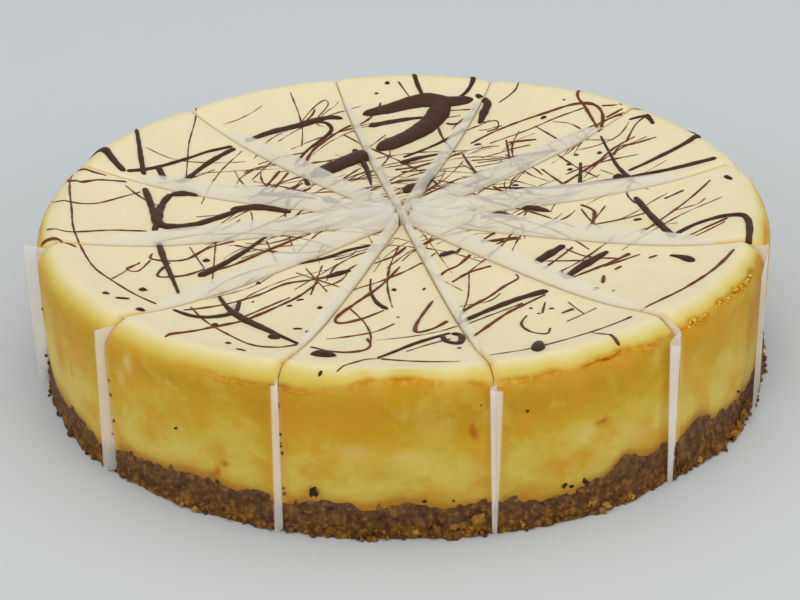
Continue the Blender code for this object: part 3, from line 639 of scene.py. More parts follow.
# Each stroke: its widths in millimetres, spread evenly along it, then the points
# it passes, in millimetres from the middle of the cake, +x right and +y back.
STROKES = [
    ([3.6, 5.4, 5.6, 6.4, 6.0, 4.6], [(-13, 84.5), (-4, 88.5), (4, 92.5), (11, 94.5), (18, 92), (27, 93.5)]),
    ([2.5, 4.2, 5.0, 5.4], [(-6, 85.5), (2, 89.5), (9, 91.5), (16, 91)]),
    ([6.4, 8.4, 8.0, 7.4, 7.0], [(15.5, 94), (14, 84), (9, 74), (2, 65.5), (-8, 56.5)]),
    ([7.0, 7.2, 6.8, 6.2], [(-11.5, 53.5), (-18, 47.5), (-24, 41.5), (-30, 36)]),
    ([1.8, 3.2, 3.0, 1.8], [(28, 96.5), (31.8, 90.5), (30.2, 83), (28.4, 75)]),
    ([3.2, 2.6, 2.2, 1.0], [(-11, 75.5), (-4, 78.5), (4, 81), (11, 82)]),
    ([1.6, 1.9, 2.2], [(9, 96), (7, 104), (6, 111), (6.5, 115)]),
    ([1.4, 2.0, 2.8], [(21, 94), (25, 99), (27.5, 106), (27, 112), (25, 115)]),
    ([1.8, 1.6, 1.4], [(23, 72), (15, 63), (8, 56), (1, 50)]),
    ([1.0, 1.3, 1.2], [(13, 80), (15, 66), (19, 54)]),
    ([1.3, 1.0, 1.2], [(16.5, 77), (20, 76), (27, 81.5)]),
    ([0.8, 1.0], [(15, 86), (28, 86.5)]),
    ([3.0, 1.8, 0.9], [(0, 45), (6, 49), (17, 54)]),
    ([0.9, 1.3], [(14, 47), (5, 42), (-2, 40)]),
    ([1.4, 1.0], [(13, 40), (0, 38)]),
    ([2.8, 3.6, 3.0], [(10.5, 37), (8.5, 30.5), (6, 25)]),
    ([3.0, 4.6], [(5.5, 28), (1, 21)]),
    ([0.9, 0.6], [(0, 106), (4, 96)]),
    ([2.2, 2.9, 3.0, 2.2], [(-54, 63), (-45, 70), (-35, 76), (-26, 81.5), (-20, 81.5)]),
    ([1.6, 1.8, 1.5, 1.2], [(-31, 78.5), (-26, 78), (-24, 73), (-27, 66), (-32, 57), (-36, 46)]),
    ([1.0, 1.6, 1.4], [(-17, 77), (-24, 68), (-30, 57), (-33, 44)]),
    ([0.5, 0.7, 0.6], [(-35, 78), (-31, 88), (-27, 94), (-25.5, 91), (-29, 82)]),
    ([2.8, 2.4, 0.9], [(-16, 58), (-13, 48), (-11, 38), (-10, 28)]),
    ([1.4, 2.2], [(-33, 39), (-31, 29)]),
    ([1.8, 1.2], [(-7, 34), (-5, 22)]),
    ([2.0, 3.4, 2.2], [(-26, 19), (-23, 16), (-20, 15)]),
    ([1.8, 1.9, 1.6, 1.8], [(-92, 34), (-84, 38), (-73, 47), (-66, 54), (-58, 59.5)]),
    ([2.0, 2.4, 2.0, 2.6], [(-57, 58), (-62, 51), (-68, 40), (-72, 32), (-75, 30)]),
    ([1.2, 1.9, 2.2], [(-93, 71), (-90, 56), (-88, 44), (-86, 33)]),
    ([2.0, 2.8, 3.0, 2.8, 2.0], [(-106, 44.5), (-105, 47.5), (-101.5, 47.5), (-96.5, 39.5), (-92.5, 33.5)]),
    ([2.0, 2.8], [(-82, 40), (-79, 31)]),
    ([0.6, 0.7, 0.6], [(-73, 90), (-72, 78), (-73, 60), (-72.5, 45), (-72, 32)]),
    ([2.4, 2.2, 1.4], [(-47, 22.5), (-36, 20.5), (-28, 18.5)]),
    ([1.3, 1.2], [(-41, 41), (-47, 22)]),
    ([1.1, 1.2], [(-38, 40), (-44, 21)]),
    ([1.2, 1.6], [(-34, 30), (-41, 22)]),
    ([1.2, 1.4], [(-30, 27), (-37, 20)]),
    ([1.0, 1.4, 1.0], [(-107, 46), (-109, 39), (-106, 32), (-98, 29.5)]),
    ([1.4, 1.2, 0.9], [(-111, 30), (-110, 24.5), (-106, 22.5), (-100, 26), (-91, 27)]),
    ([2.4, 2.8, 2.4], [(-85, 24), (-82, 13), (-79, 0), (-79, -7)]),
    ([2.2, 2.8, 3.8, 3.4, 3.0, 2.8, 2.4],
     [(-76, 21), (-78, 14), (-79, 2), (-76, -3), (-69, -3), (-61, 3), (-53, 10.5)]),
    ([2.2, 3.6, 2.6], [(-76.5, 20), (-71, 22), (-67, 21)]),
    ([2.4, 3.6, 2.6], [(-56, 11), (-46, 12), (-36, 8)]),
    ([0.7, 0.9, 0.8], [(-115, 20), (-113, 9), (-107, 7), (-100, 9), (-92, 16), (-86, 21)]),
    ([0.7, 1.0, 0.9], [(-112, -13), (-105, -15), (-92, -9), (-81, -7)]),
    ([1.0, 1.4], [(-32, 12), (-35, 4), (-41, 1)]),
    ([1.0, 0.9, 0.9, 1.0],
     [(-110, 35), (-109, 20), (-106, 2), (-103, -14), (-95, -36), (-87, -47), (-80, -55), (-73, -61)]),
    ([1.5, 1.1], [(-113, -20), (-108, -21), (-101, -25)]),
    ([2.6, 2.0, 1.2], [(-77, -14), (-74, -27), (-71, -38), (-67, -53)]),
    ([0.9, 1.3, 1.1], [(-78, -23), (-78, -27), (-73, -28), (-67, -26), (-61, -18), (-53, -13)]),
    ([1.4, 2.3, 3.0], [(-43, -9), (-49, -20), (-55, -29), (-62.5, -39)]),
    ([0.9, 1.4, 1.2], [(-29, -8), (-36, -14), (-45, -23), (-52, -30), (-59, -35)]),
    ([1.0, 1.3, 1.0], [(-61, -33), (-66, -38), (-71, -40), (-74.5, -40), (-74.5, -36), (-72, -29)]),
    ([0.7, 0.9, 0.7], [(-81, -31), (-84.5, -36), (-81, -37), (-78, -28)]),
    ([0.5, 0.6], [(-81, -30), (-88, -45)]),
    ([0.7, 0.6], [(-67, -17), (-61, -33)]),
    ([0.7, 0.6], [(-59, -13), (-58, -44)]),
    ([0.8, 0.6], [(-43, -13), (-39, -29)]),
    ([0.7, 0.6], [(-36, -10), (-33.5, -23)]),
    ([1.6, 2.2, 1.6], [(-68, -64), (-62, -68), (-56, -68), (-50, -64), (-49, -55)]),
    ([1.2, 2.2, 3.2, 2.0, 1.4], [(-55.5, -52), (-52, -61), (-47, -69), (-40, -77), (-30, -88.5)]),
    ([1.2, 0.9, 0.8], [(-30, -88.5), (-36, -91.5), (-43, -90), (-50, -82), (-58, -71), (-63, -61)]),
    ([1.0, 1.0, 1.2, 1.0],
     [(-65, -64), (-55, -59.5), (-44, -51.5), (-36, -44), (-27, -41), (-20, -37.5), (-14, -31)]),
    ([1.6, 2.8, 1.4], [(-24, -40), (-20, -37.5), (-16, -35)]),
    ([1.0, 1.4, 1.3], [(-26, -43), (-31, -52), (-38, -60), (-47, -70), (-57, -77), (-68, -87)]),
    ([0.9, 1.0], [(-34, -53), (-40, -59), (-47, -67)]),
    ([1.6, 1.9, 1.4], [(-32, -29.5), (-24, -26), (-17, -21), (-10, -18)]),
    ([0.7, 0.8], [(-25, -31), (-28, -52)]),
    ([0.7, 0.8], [(-33, -36), (-19, -47)]),
    ([0.6, 0.7], [(-30, -33), (-23, -50)]),
    ([0.6, 0.5], [(-20, -30), (-33, -48)]),
    ([0.7, 1.2, 2.4], [(-10, -41), (-10, -50), (-8, -58), (-5, -62.5)]),
    ([0.9, 1.3, 1.5, 1.0],
     [(-1, -33), (-7, -46), (-15, -59), (-20, -68), (-19, -72), (-13, -69.5), (-6, -63)]),
    ([0.7, 0.9], [(-16, -62), (-12, -71), (-10, -80), (-10, -89)]),
    ([1.0, 1.2, 1.3, 1.0], [(-27, -90.5), (-21, -94), (-16, -94.5), (-11.5, -92), (-10, -88), (-11, -83)]),
    ([0.6, 0.9, 0.7], [(-19, -110), (-15, -105), (-11, -100.5), (-6, -99.5)]),
    ([1.2, 1.8, 1.5], [(-8, -99), (0, -90.5), (6, -85.5), (13, -80.5)]),
    ([1.2, 0.9, 0.5], [(-7, -100), (0, -102), (8, -104), (15, -105)]),
    ([1.0, 1.3], [(-9, -30.5), (-3, -26), (1, -19.5)]),
    ([1.0, 1.5, 1.3], [(8.5, -57), (5, -67), (3, -75), (3.5, -79.5), (8, -77), (12.5, -71.5)]),
    ([1.6, 2.4, 2.0], [(10.5, -82), (11.5, -87), (15, -89), (16, -83), (13, -81)]),
    ([0.7, 0.9], [(0, -94), (6, -89.5), (13, -85)]),
    ([0.9, 1.3, 1.0], [(17, -81), (16, -71), (17.5, -65), (25, -56), (30, -49), (34.5, -44), (34, -41)]),
    ([1.8, 2.4, 2.8], [(16, -73), (25, -65), (34, -58), (43, -53.5)]),
    ([1.0, 1.4, 1.2], [(42, -56), (36, -61.5), (29, -69), (19, -84)]),
    ([0.6, 0.8], [(17, -75), (26, -68), (35, -61)]),
    ([1.0, 1.4], [(10, -42), (13, -37), (17, -33), (21, -26)]),
    ([2.2, 2.6], [(11, -26.5), (16.5, -23.5)]),
    ([1.4, 1.6], [(16.5, -25), (18.5, -20)]),
    ([0.9, 1.4], [(14.5, -45), (20, -38.5), (27, -34.5)]),
    ([0.6, 0.7], [(20, -37), (19, -55), (16.5, -67)]),
    ([0.8, 1.2], [(41.5, -61), (40, -69)]),
    ([1.2, 1.4], [(45.5, -70), (49.5, -67.5)]),
    ([0.5, 0.7], [(48, -62), (52, -72)]),
    ([0.6, 0.7], [(56, -68.5), (46.5, -76.5)]),
    ([0.9, 1.1, 0.8], [(35.5, -70), (33.5, -76), (35.5, -82), (40, -85), (41.5, -80.5)]),
    ([0.5, 0.9, 0.8, 1.1], [(23, -100.5), (33, -97), (44, -92), (54, -86.5), (65, -79.5)]),
    ([2.2, 4.2, 3.8], [(37.5, -91), (37, -95), (36.5, -100)]),
    ([0.7, 0.9, 1.4], [(52.5, -88), (57, -92.5), (59.5, -97)]),
    ([2.6, 3.2, 2.4], [(40.5, -34), (45, -28), (50.5, -21.5)]),
    ([2.2, 3.2, 2.0], [(48.5, -46), (54, -38), (63.5, -27.5)]),
    ([1.0, 1.5], [(50, -46), (60, -38), (70, -30.5)]),
    ([1.1, 0.8], [(61, -38), (73, -31.5)]),
    ([1.8, 1.2], [(47.5, -40), (49, -46)]),
    ([0.8, 1.0], [(50.5, -24), (57, -30.5), (66, -33)]),
    ([0.8, 0.9], [(43.5, -32.5), (56, -33)]),
    ([0.9, 1.1], [(53, -23), (42.5, -38.5)]),
    ([1.2, 1.6], [(29.5, -10.5), (25, -17), (32, -16)]),
    ([1.2, 1.0], [(25, -17), (36.5, -14.5)]),
    ([1.2, 2.4, 4.2], [(81.5, -34.5), (85, -37.5), (88, -42)]),
    ([1.3, 1.0], [(75, -35), (78, -33.5)]),
    ([1.6, 1.2], [(64, -41), (66.5, -38.5)]),
    ([1.2, 1.6], [(60.5, -44.5), (59.5, -50.5)]),
    ([1.5, 1.2], [(56, -55.5), (58, -54)]),
    ([0.9, 1.4, 1.5], [(67.5, -75.5), (80, -64), (92, -51.5), (100.5, -39)]),
    ([2.2, 2.6, 2.8], [(76, 10), (78, 1), (80.5, -9), (84.5, -22.5)]),
    ([1.8, 2.0, 2.6, 2.2], [(85, -20.5), (92, -16), (100, -14.5), (106, -17), (107.5, -23), (105.5, -35)]),
    ([0.9, 1.2], [(86.5, -24.5), (94, -20), (102, -16.5)]),
    ([0.6, 0.8], [(88, -25.5), (101, -18.5)]),
    ([0.8, 1.1], [(74.5, -17), (80, -11), (90, 0), (101, 14)]),
    ([1.6, 1.2], [(73.5, -7), (76.5, -6.5)]),
    ([0.8, 1.0], [(59, -8.5), (68, -6), (78, -2.5)]),
    ([0.8, 0.9], [(58, 5), (60, -4), (63, -11)]),
    ([0.7, 0.8], [(66, 6), (62, -3), (58, -12)]),
    ([1.2, 1.6, 1.0], [(58, 8), (62, 2), (60, -9)]),
    ([1.2, 3.2, 2.4], [(25, 0), (31, 2.5), (38, -2)]),
    ([2.8, 3.2, 1.6], [(39, 7.5), (43, 6), (48, 3.5)]),
    ([1.1, 1.3], [(85, 6), (92, 10.5)]),
    ([2.2, 1.6], [(105.5, 14.5), (107.5, 10.5)]),
    ([1.0, 1.4, 2.6], [(69.5, 58), (71.5, 44), (73, 34), (76.5, 21.5)]),
    ([1.6, 2.0, 2.4, 2.0], [(76, 30), (86, 36), (93, 40), (99.5, 44.5), (102, 50), (99, 62)]),
    ([2.2, 2.0, 1.8, 1.2], [(105, 27.5), (96, 27), (83, 26), (70, 24), (55, 22.5), (45, 22), (32, 23.5)]),
    ([3.0, 3.8], [(70.5, 27), (74, 25)]),
    ([1.3, 1.7], [(61, 40), (60, 30), (59, 21)]),
    ([0.8, 1.3, 1.1], [(81, 54), (73, 48), (66, 38.5), (57, 28), (51, 21)]),
    ([0.9, 1.3], [(88, 51), (80, 49), (75, 48.5), (72.5, 43)]),
    ([0.8, 1.0], [(87, 67), (82, 62), (77.5, 51)]),
    ([0.9, 1.1], [(47.5, 37), (54.5, 23)]),
    ([1.2, 1.6], [(23.5, 19.5), (29.5, 12.5)]),
    ([1.2, 1.5], [(30.5, 24.5), (36.5, 15.5)]),
    ([1.3, 1.7], [(39.5, 23.5), (43.5, 17.5)]),
    ([1.0, 1.4, 1.2], [(67.5, 97), (64, 87), (66, 78), (69.5, 61)]),
    ([1.0, 1.2, 1.6, 1.4],
     [(24.5, 60), (33, 68), (43, 74.5), (52, 78), (62, 81), (69, 79), (71.5, 72), (70, 62)]),
    ([0.7, 0.9], [(31, 59), (42, 65.5), (54, 73), (66, 78)]),
    ([0.8, 0.9], [(47.5, 70), (57.5, 54)]),
    ([1.0, 0.8], [(37, 61), (37.5, 39)]),
    ([1.2, 1.5], [(37.5, 58.5), (47.5, 59.5)]),
    ([0.7, 0.8], [(53.5, 51.5), (38, 47.5), (24, 46)]),
    ([0.6, 0.7], [(53.5, 51), (40, 47), (26, 44)]),
    ([0.7, 0.7], [(54, 51), (40, 45.5), (25, 40.5)]),
    ([0.6, 0.6], [(54, 50.5), (41, 44), (26, 36.5)]),
    ([1.1, 1.3], [(21.5, 52), (24.5, 39), (28.5, 30)]),
    ([1.2, 1.7], [(29.5, 31.5), (20.5, 24.5)]),
    ([0.8, 0.9], [(29.5, 76), (34.5, 76.5), (34.5, 71), (30.5, 68.5)]),
    ([0.7, 0.9], [(44.5, 106), (43, 98), (40.5, 94), (36, 89.5)]),
    ([0.9, 1.2], [(79, 74), (72.5, 69.5)]),
    ([0.8, 1.0], [(71.5, 77.5), (79, 76)]),
    ([1.2, 2.0, 1.4], [(80, 66), (86, 66), (88, 60)]),
]

# Drops that flew off the spoon: width, length and heading, then where they fell.
DROPS = [
    (2.0, 2.2, 0, (-4, 105)), (1.5, 1.6, 0, (-8, 99)), (1.6, 3.0, 30, (-13, 25)),
    (1.8, 2.2, 80, (-10, 21)), (2.6, 2.8, 0, (-78, -51)), (2.0, 2.4, 20, (-88, -58)),
    (1.6, 4.4, 15, (-83, -60)), (2.2, 3.0, 10, (-77, -67)), (2.4, 2.6, 0, (-61, -27)),
    (1.2, 1.2, 0, (-45, -56)), (2.0, 1.8, 40, (-44, -43)), (1.4, 2.0, 10, (-34, -59)),
    (1.2, 2.6, 20, (-31, -55)), (2.2, 2.0, 0, (-25, -61)), (1.4, 3.0, 0, (-31, -76)),
    (1.6, 2.0, 30, (-28, -78)), (1.3, 3.6, -30, (-46, -95)), (1.7, 2.0, 0, (-50, -89)),
    (2.0, 1.8, 20, (-3, -49)), (1.0, 1.2, 0, (-2, -68)), (1.3, 1.9, 60, (-23.5, -110)),
    (4.0, 7.5, -8, (-23, -97.5)), (1.4, 1.4, 0, (37, -65)), (1.2, 1.8, 0, (43, -66)),
    (1.2, 1.4, 0, (39, -69)), (1.8, 2.0, 0, (57, 39)), (1.8, 2.2, 20, (57, 35)),
    (1.6, 2.0, 0, (60, 46)), (1.8, 2.2, 40, (68, 46)), (1.6, 2.6, 0, (38, 25)), (1.3, 1.3, 0, (59, 85)),
    (1.6, 2.8, 10, (27, 59)), (1.8, 2.6, 30, (51, 75)), (3.2, 4.2, -35, (-37.5, -83)),
    (2.0, 3.0, 60, (-55, -74)), (2.0, 3.4, 20, (-40, 108)), (1.3, 1.6, 0, (15, -93)),
    (1.1, 1.1, 0, (62, -57)), (0.9, 0.9, 0, (22, -60)), (1.2, 2.0, 70, (6, -49)),
]
TALLEST = 52.5              # nothing stands over the solid parts' own box


def smooth_line(points, step):
    """Points at even steps along a Catmull-Rom curve through the given ones."""
    padded = np.array([points[0], *points, points[-1]], float)
    line = []
    for a, b, c, d in zip(padded, padded[1:], padded[2:], padded[3:]):
        count = max(1, round(float(np.linalg.norm(c - b)) / step))
        t = np.arange(count)[:, None] / count
        square, cube = 2 * a - 5 * b + 4 * c - d, 3 * b - a - 3 * c + d
        line.append(0.5 * (2 * b + (c - a) * t + square * t ** 2 + cube * t ** 3))
    return np.vstack([*line, padded[-1]])


class Pour:
    """Gathers many strands of chocolate into the points and faces of one mesh."""

    def __init__(self):
        self.points, self.faces, self.count = [], [], 0

    def strand(self, line, widths, blunt_start, blunt_end, flatness):
        """A strand lying on the cream: round on top, tapered where it isn't cut."""
        n = len(line)
        if n < 3:
            return
        ahead = np.gradient(line, axis=0)
        ahead /= np.maximum(np.linalg.norm(ahead, axis=1), 1e-6)[:, None]
        across = np.column_stack([-ahead[:, 1], ahead[:, 0]])
        run = np.concatenate([[0], np.cumsum(np.linalg.norm(np.diff(line, axis=0), axis=1))])
        half = widths / 2
        if not blunt_start:
            half = half * np.sqrt(np.clip(run / np.maximum(widths[0] * 0.6, 0.2), 0.02, 1))
        if not blunt_end:
            half = half * np.sqrt(np.clip((run[-1] - run) / np.maximum(widths[-1] * 0.6, 0.2), 0.02, 1))
        crown = half * flatness
        sides = 5 if widths.max() < 1.1 else 9
        start = self.count
        for s in range(sides):
            turn = math.pi * s / (sides - 1)
            spot = line + across * (half * math.cos(turn))[:, None]
            height = top_at(*polar(spot)) - 0.04 + crown * math.sin(turn) ** 0.8
            self.points.append(np.column_stack([spot, np.minimum(height, TALLEST)]))
        self.points.append(np.column_stack([line, top_at(*polar(line)) - 0.35]))
        around = sides + 1
        for s in range(around):
            here, beside = start + s * n, start + (s + 1) % around * n
            for i in range(n - 1):
                self.faces.append((here + i, here + i + 1, beside + i + 1, beside + i))
        self.faces.append(tuple(start + s * n for s in range(around)))
        self.faces.append(tuple(start + s * n + n - 1 for s in range(around - 1, -1, -1)))
        self.count += around * n

    def mesh(self, name):
        made = bpy.data.meshes.new(name)
        made.from_pydata((np.vstack(self.points) * MM).tolist(), [], self.faces)
        return finished(made, 60)


def pour(into, widths, points, flatness=0.8, seed=0, knotty=0.0):
    """Lays one stroke across the cake and breaks it where it crosses a cut."""
    widths = [w * (0.8 if w < 1.7 else 0.9 if w < 3 else 1.0) for w in widths]
    step = 0.5 if float(np.mean(widths)) < 1.5 else 0.8
    line = smooth_line(points, step)
    spread = np.interp(np.linspace(0, 1, len(line)), np.linspace(0, 1, len(widths)), widths)
    run = np.arange(len(line)) * step
    wobble = 1 + knotty * (np.sin(run / 2.3 + seed * 1.9) * 0.5 + np.sin(run / 0.9 + seed) * 0.35)
    spread = spread * wobble
    radius, angle = polar(line)
    on_cake = (to_cut(radius, angle) > cut_half(radius) + 0.12) & (radius < 116.2) & (radius > TIP + 1)
    begin = None
    for i in range(len(line) + 1):
        inside = i < len(line) and on_cake[i]
        if inside and begin is None:
            begin = i
        if not inside and begin is not None:
            into.strand(line[begin:i], spread[begin:i], begin > 0, i < len(line), flatness)
            begin = None


ribbons, threads = Pour(), Pour()
for number, (widths, points) in enumerate(STROKES):
    thick = max(widths) >= 1.7
    crown = 0.5 if max(widths) > 5 else 0.7 if thick else 0.85
    knotty = 0.05 if max(widths) > 5 else 0.14 if thick else 0.3
    pour(ribbons if thick else threads, widths, points, crown, number, knotty)
for width, length, heading, (x, y) in DROPS:
    heading = math.radians(heading)
    dx, dy = math.cos(heading) * length / 2, math.sin(heading) * length / 2
    pour(ribbons, [width * 0.8, width, width * 0.8], [(x - dx, y - dy), (x, y), (x + dx, y + dy)], 0.75)

# The hair-thin threads, too many to place one by one: most run from near left to far right.
dice = random.Random(11)
for number in range(210):
    along = dice.gauss(40, 14) if dice.random() < 0.7 else dice.uniform(60, 175)
    x, y = dice.gauss(0, 46), dice.gauss(22, 34)
    if math.hypot(x, y) > 98:
        continue
    length = dice.uniform(8, 46)
    bend = dice.uniform(-0.16, 0.16)
    heading = math.radians(along)
    points = []
    for t in (-0.5, -0.17, 0.17, 0.5):
        turn = heading + bend * t * 4
        off = t * length
        points.append((x + math.cos(turn) * off, y + math.sin(turn) * off + dice.uniform(-0.6, 0.6)))
    width = dice.uniform(0.45, 1.0)
    pour(threads, [width * 0.6, width, width * 0.7], points, 0.9, number, 0.5)

add_piece("chocolate_ribbons", ribbons.mesh("chocolate_ribbons"), chocolate)
add_piece("chocolate_threads", threads.mesh("chocolate_threads"), thin_chocolate)


# Loose crumbs: bits of the crust that broke off at the foot when the tin came away,
# toasted golden, and clinging in clusters; the knife left a few along the cuts too.
crumbs, tree = new_material("toasted_crumbs")
place = node(tree, "ShaderNodeTexCoord", give="Object")
each = node(tree, "ShaderNodeNewGeometry", give="Random Per Island")
grains = node(tree, "ShaderNodeTexNoise", {"Vector": place, "Scale": per_mm(0.9), "Detail": 3.0})
tone = node(tree, "ShaderNodeValToRGB", {"Fac": each}, stops=[
    (0.0, "#4A2C0E"), (0.35, "#64400F"), (0.65, "#7E5414"), (0.85, "#946A1E"), (1.0, "#A67C2A")])
dusty = node(tree, "ShaderNodeBump", {"Strength": 0.5, "Distance": 0.0004, "Height": grains})
surface = node(tree, "ShaderNodeBsdfPrincipled", {
    "Base Color": tone, "Roughness": 0.6, "Normal": dusty, "Specular IOR Level": 0.3})
node(tree, "ShaderNodeOutputMaterial", {"Surface": surface})


def crumbled(name, spots, seed, along=0.0):
    """One mesh of many rough lumps, from (x, y, z, size) in millimetres for each.

    Lumps lie any way round, or stretched that much along the side where along is given.
    """
    dice = random.Random(seed)
    bm = bmesh.new()
    for number, (x, y, z, size) in enumerate(spots):
        made = bmesh.ops.create_icosphere(bm, subdivisions=3 if size > 1.3 else 2, radius=1)["verts"]
        about = dice.uniform(0, 6.28)
        axis = Vector((dice.random(), dice.random(), dice.random() + 0.1)).normalized()
        turn = Matrix.Rotation(about, 3, axis)
        squeeze = [size * dice.uniform(low, high) for low, high in ((0.6, 1.1), (0.6, 1.1), (0.5, 0.8))]
        if along:
            round_cake = Matrix.Rotation(math.atan2(y, x) + math.pi / 2, 3, "Z")
            turn = round_cake @ Matrix.Rotation(dice.uniform(-0.3, 0.3), 3, "Y")
            squeeze[0] *= dice.uniform(1.0, along)
        for vert in made:
            rough = 1 + 0.6 * noise.noise(vert.co * 1.5 + Vector((number * 3.1, 0, 0))) \
                + 0.4 * noise.noise(vert.co * 3.1 + Vector((0, number * 1.7, 0)))
            spot = turn @ Vector([a * b * rough for a, b in zip(vert.co, squeeze)]) + Vector((x, y, z))
            flat = [min(max(value, -OUTERMOST - 0.1), OUTERMOST + 0.1) for value in spot.xy]
            vert.co = Vector((*flat, max(spot.z, 0.0))) * MM
    for face in bm.faces:
        face.smooth = True
    mesh = bpy.data.meshes.new(name)
    bm.to_mesh(mesh)
    bm.free()
    return mesh


def beside(degrees, out, z, size, sideways=0.0):
    """A spot beside the cake at a bearing, kept inside the box of the cake."""
    angle = math.radians(degrees)
    x = out * math.cos(angle) - sideways * math.sin(angle)
    y = out * math.sin(angle) + sideways * math.cos(angle)
    most = OUTERMOST - size * 1.05
    return (min(max(x, -most), most), min(max(y, -most), most), z, size)


HEAPS = [                   # bearing and spread in degrees, and how crowded the crumbs are there
    (-86, 11, 0.65), (-66, 4, 0.35), (-48, 9, 0.6), (-33, 8, 0.5),
    (40, 40, 0.4), (140, 30, 0.3), (-120, 6, 0.2),
]
dice = random.Random(5)
spots = []
for _ in range(1500):
    degrees = dice.uniform(0, 360)
    angle = math.radians(degrees)
    crowd = 0.25 + float(bumps_at(angle, HEAPS))
    if dice.random() > crowd:
        continue
    size = dice.uniform(0.4, 1.1) if dice.random() > 0.3 * crowd else dice.uniform(1.1, 2.1)
    if float(to_cut(RADIUS, angle)) < size + 0.6:
        continue
    high = dice.random() ** 2.5 * 5 * crowd
    out = 116.7 - size * 0.4 + float(spill_at(angle)) * max(0.0, 1 - high / 4) + dice.uniform(-0.5, 0.9)
    spots.append(beside(degrees, out, size * 0.62 + high, size))
# The knife's crumbs at each cut, from the first one round: past it, or below 0 before it.
for k, count in enumerate([5, -4, 6, -5, 4, -5, -2, 6, 8, -6, -8, -5]):
    for _ in range(abs(count)):
        z, size = dice.uniform(12, 43), dice.uniform(0.4, 0.7)
        sideways = math.copysign(dice.uniform(0.8, 1.2), count)
        spots.append(beside(FIRST_CUT + SLICE * k, 116.7, z, size, sideways))
add_piece("loose_crumbs", crumbled("loose_crumbs", spots, 6), crumbs)

# Dark crumbs, scorched in the oven, that were dragged up the side when the tin came off.
scorched, tree = new_material("scorched_crumb")
surface = node(tree, "ShaderNodeBsdfPrincipled", {
    "Base Color": srgb("#2E1D10"), "Roughness": 0.7, "Specular IOR Level": 0.25})
node(tree, "ShaderNodeOutputMaterial", {"Surface": surface})

spots = [beside(-103.3, 117.2, 14.9, 1.5), beside(-102.8, 117.2, 14.2, 0.9)]
for degrees, z, size in (
        (-73.7, 38.4, 0.55), (-80.1, 42.4, 0.4), (-74.7, 29.5, 0.4), (-74.0, 30.3, 0.3),
        (-124.2, 26.4, 0.45), (-68.0, 11.5, 0.9), (-67.0, 10.6, 0.7), (-64.8, 11.0, 0.9),
        (-88.0, 12.8, 0.6), (-84.0, 12.4, 0.5), (-138.0, 14.0, 0.5), (-31.0, 12.5, 0.6)):
    spots.append(beside(degrees, 117.1, z, size))
for _ in range(40):
    spots.append(beside(dice.uniform(0, 200), 117.0, 11 + 25 * dice.random() ** 3, dice.uniform(0.3, 0.7)))
add_piece("dark_crumbs", crumbled("dark_crumbs", spots, 7), scorched)


# Torn skin: where the rim pulled away from the tin, the baked skin broke into short
# flakes and curds along the crack.
torn_skin, tree = new_material("torn_cheese_skin")
each = node(tree, "ShaderNodeNewGeometry", give="Random Per Island")
tone = node(tree, "ShaderNodeValToRGB", {"Fac": each}, stops=[
    (0.0, "#D09414"), (0.4, "#DCA824"), (0.75, "#E6BC46"), (1.0, "#EAD080")])
surface = node(tree, "ShaderNodeBsdfPrincipled", {
    "Base Color": tone, "Roughness": 0.55, "Specular IOR Level": 0.25,
    "Subsurface Weight": 0.3, "Subsurface Radius": (1.0, 0.6, 0.25), "Subsurface Scale": 0.001})
node(tree, "ShaderNodeOutputMaterial", {"Surface": surface})

spots = []
dice = random.Random(8)
for _ in range(2600):
    degrees = dice.uniform(0, 360)
    angle = math.radians(degrees)
    torn = float(torn_at(angle))
    flaky = float(bumps_at(angle, [(-35, 17, 1), (75, 30, 1)]))
    if dice.random() > (torn - 0.2) * flaky or float(to_cut(RADIUS, angle)) < 1.4:
        continue
    turn = math.radians(float(crack_turn_at(angle))) + dice.gauss(0.0, 0.06)
    turn += 0.05 if dice.random() < 0.5 else -0.06
    size = dice.uniform(0.4, 0.7) + 0.5 * torn * dice.random() ** 2
    drop = float(edge_drop(RADIUS - 3, angle)) * 0.5
    out = CREST + (float(side_at(angle, 42)) - CREST) * math.cos(turn) - size * 0.95
    z = float(rim_at(angle)) - SHOULDER_DEPTH * (1 - math.sin(turn)) - drop
    spots.append(beside(degrees, out, z, size))
add_piece("torn_skin", crumbled("torn_skin", spots, 9, along=2.2), torn_skin)


# The room: a pale floor that sweeps up behind, soft lamps above and in front, and the
# camera where it stood, 0.67 m from the middle of the cake and 27 degrees above it.
floor_mesh = bpy.data.meshes.new("sweep")
bm = bmesh.new()
SWEEP_START, SWEEP_CURVE = 0.6, 0.5
curve = [(SWEEP_START + SWEEP_CURVE * math.sin(turn), SWEEP_CURVE * (1 - math.cos(turn)))
         for turn in np.linspace(0.15, math.pi / 2, 12)]
rows = []
for y, z in [(-2.5, 0), (SWEEP_START, 0), *curve, (SWEEP_START + SWEEP_CURVE, 2.5)]:
    rows.append([bm.verts.new((x, y, z)) for x in (-3, 3)])
for one, two in zip(rows, rows[1:]):
    bm.faces.new((one[0], one[1], two[1], two[0]))
bm.to_mesh(floor_mesh)
bm.free()
floor_mesh.shade_smooth()
sweep = bpy.data.objects.new("sweep", floor_mesh)
bpy.context.scene.collection.objects.link(sweep)
paint, tree = new_material("pale_backdrop")
surface = node(tree, "ShaderNodeBsdfPrincipled", {"Base Color": srgb("#CACED0"), "Roughness": 0.9})
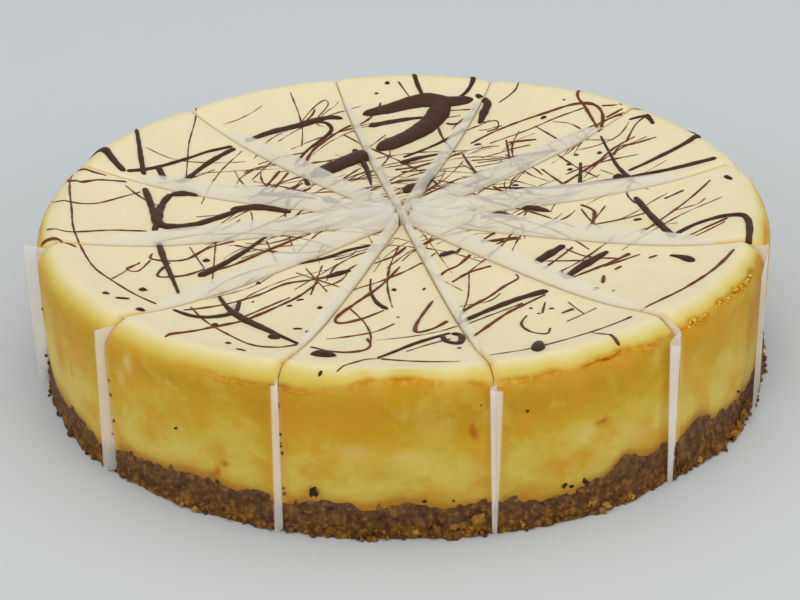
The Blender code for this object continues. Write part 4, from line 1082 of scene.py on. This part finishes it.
node(tree, "ShaderNodeOutputMaterial", {"Surface": surface})
sweep.data.materials.append(paint)


def lamp(name, where, aim, size, power, tint):
    light = bpy.data.lights.new(name, "AREA")
    light.shape = "RECTANGLE"
    light.size, light.size_y = size
    light.energy = power
    light.color = tint
    stand = bpy.data.objects.new(name, light)
    bpy.context.scene.collection.objects.link(stand)
    stand.location = where
    stand.rotation_euler = (Vector(aim) - Vector(where)).to_track_quat("-Z", "Y").to_euler()


lamp("overhead", (0.1, 0.2, 1.5), (0, 0, 0), (1.6, 1.4), 5.2, (1.0, 1.0, 1.0))
lamp("window", (-0.9, -1.2, 0.75), (0, 0, 0.02), (1.2, 0.9), 4.6, (1.0, 0.99, 0.98))
lamp("fill", (1.1, -0.9, 0.6), (0, 0, 0.02), (1.0, 0.8), 3.6, (1.0, 1.0, 1.0))
world = bpy.data.worlds.new("room")
bpy.context.scene.world = world
world.use_nodes = True
background = world.node_tree.nodes["Background"]
background.inputs["Color"].default_value = srgb("#E2E3E3")
background.inputs["Strength"].default_value = 1.0
bpy.context.scene.view_settings.view_transform = "Standard"

DISTANCE = 0.6711
ABOVE = math.radians(27.49)
TILT = math.radians(1.411)
AIM_ASIDE, AIM_HEIGHT = -0.0013, 0.0152
FOCAL_PIXELS, PICTURE_WIDTH = 2045.2, 800
view = bpy.data.cameras.new("camera")
view.sensor_width = 36.0
view.lens = FOCAL_PIXELS / PICTURE_WIDTH * view.sensor_width
camera = bpy.data.objects.new("camera", view)
bpy.context.scene.collection.objects.link(camera)
bpy.context.scene.camera = camera
ahead = Vector((0, math.cos(ABOVE), -math.sin(ABOVE)))
right = Vector((1, 0, 0))
upward = right.cross(ahead)
axis_x = right * math.cos(TILT) - upward * math.sin(TILT)
axis_y = right * math.sin(TILT) + upward * math.cos(TILT)
stand = Vector((AIM_ASIDE, 0, AIM_HEIGHT)) - DISTANCE * ahead
camera.matrix_world = Matrix.Translation(stand) @ Matrix((axis_x, axis_y, -ahead)).transposed().to_4x4()
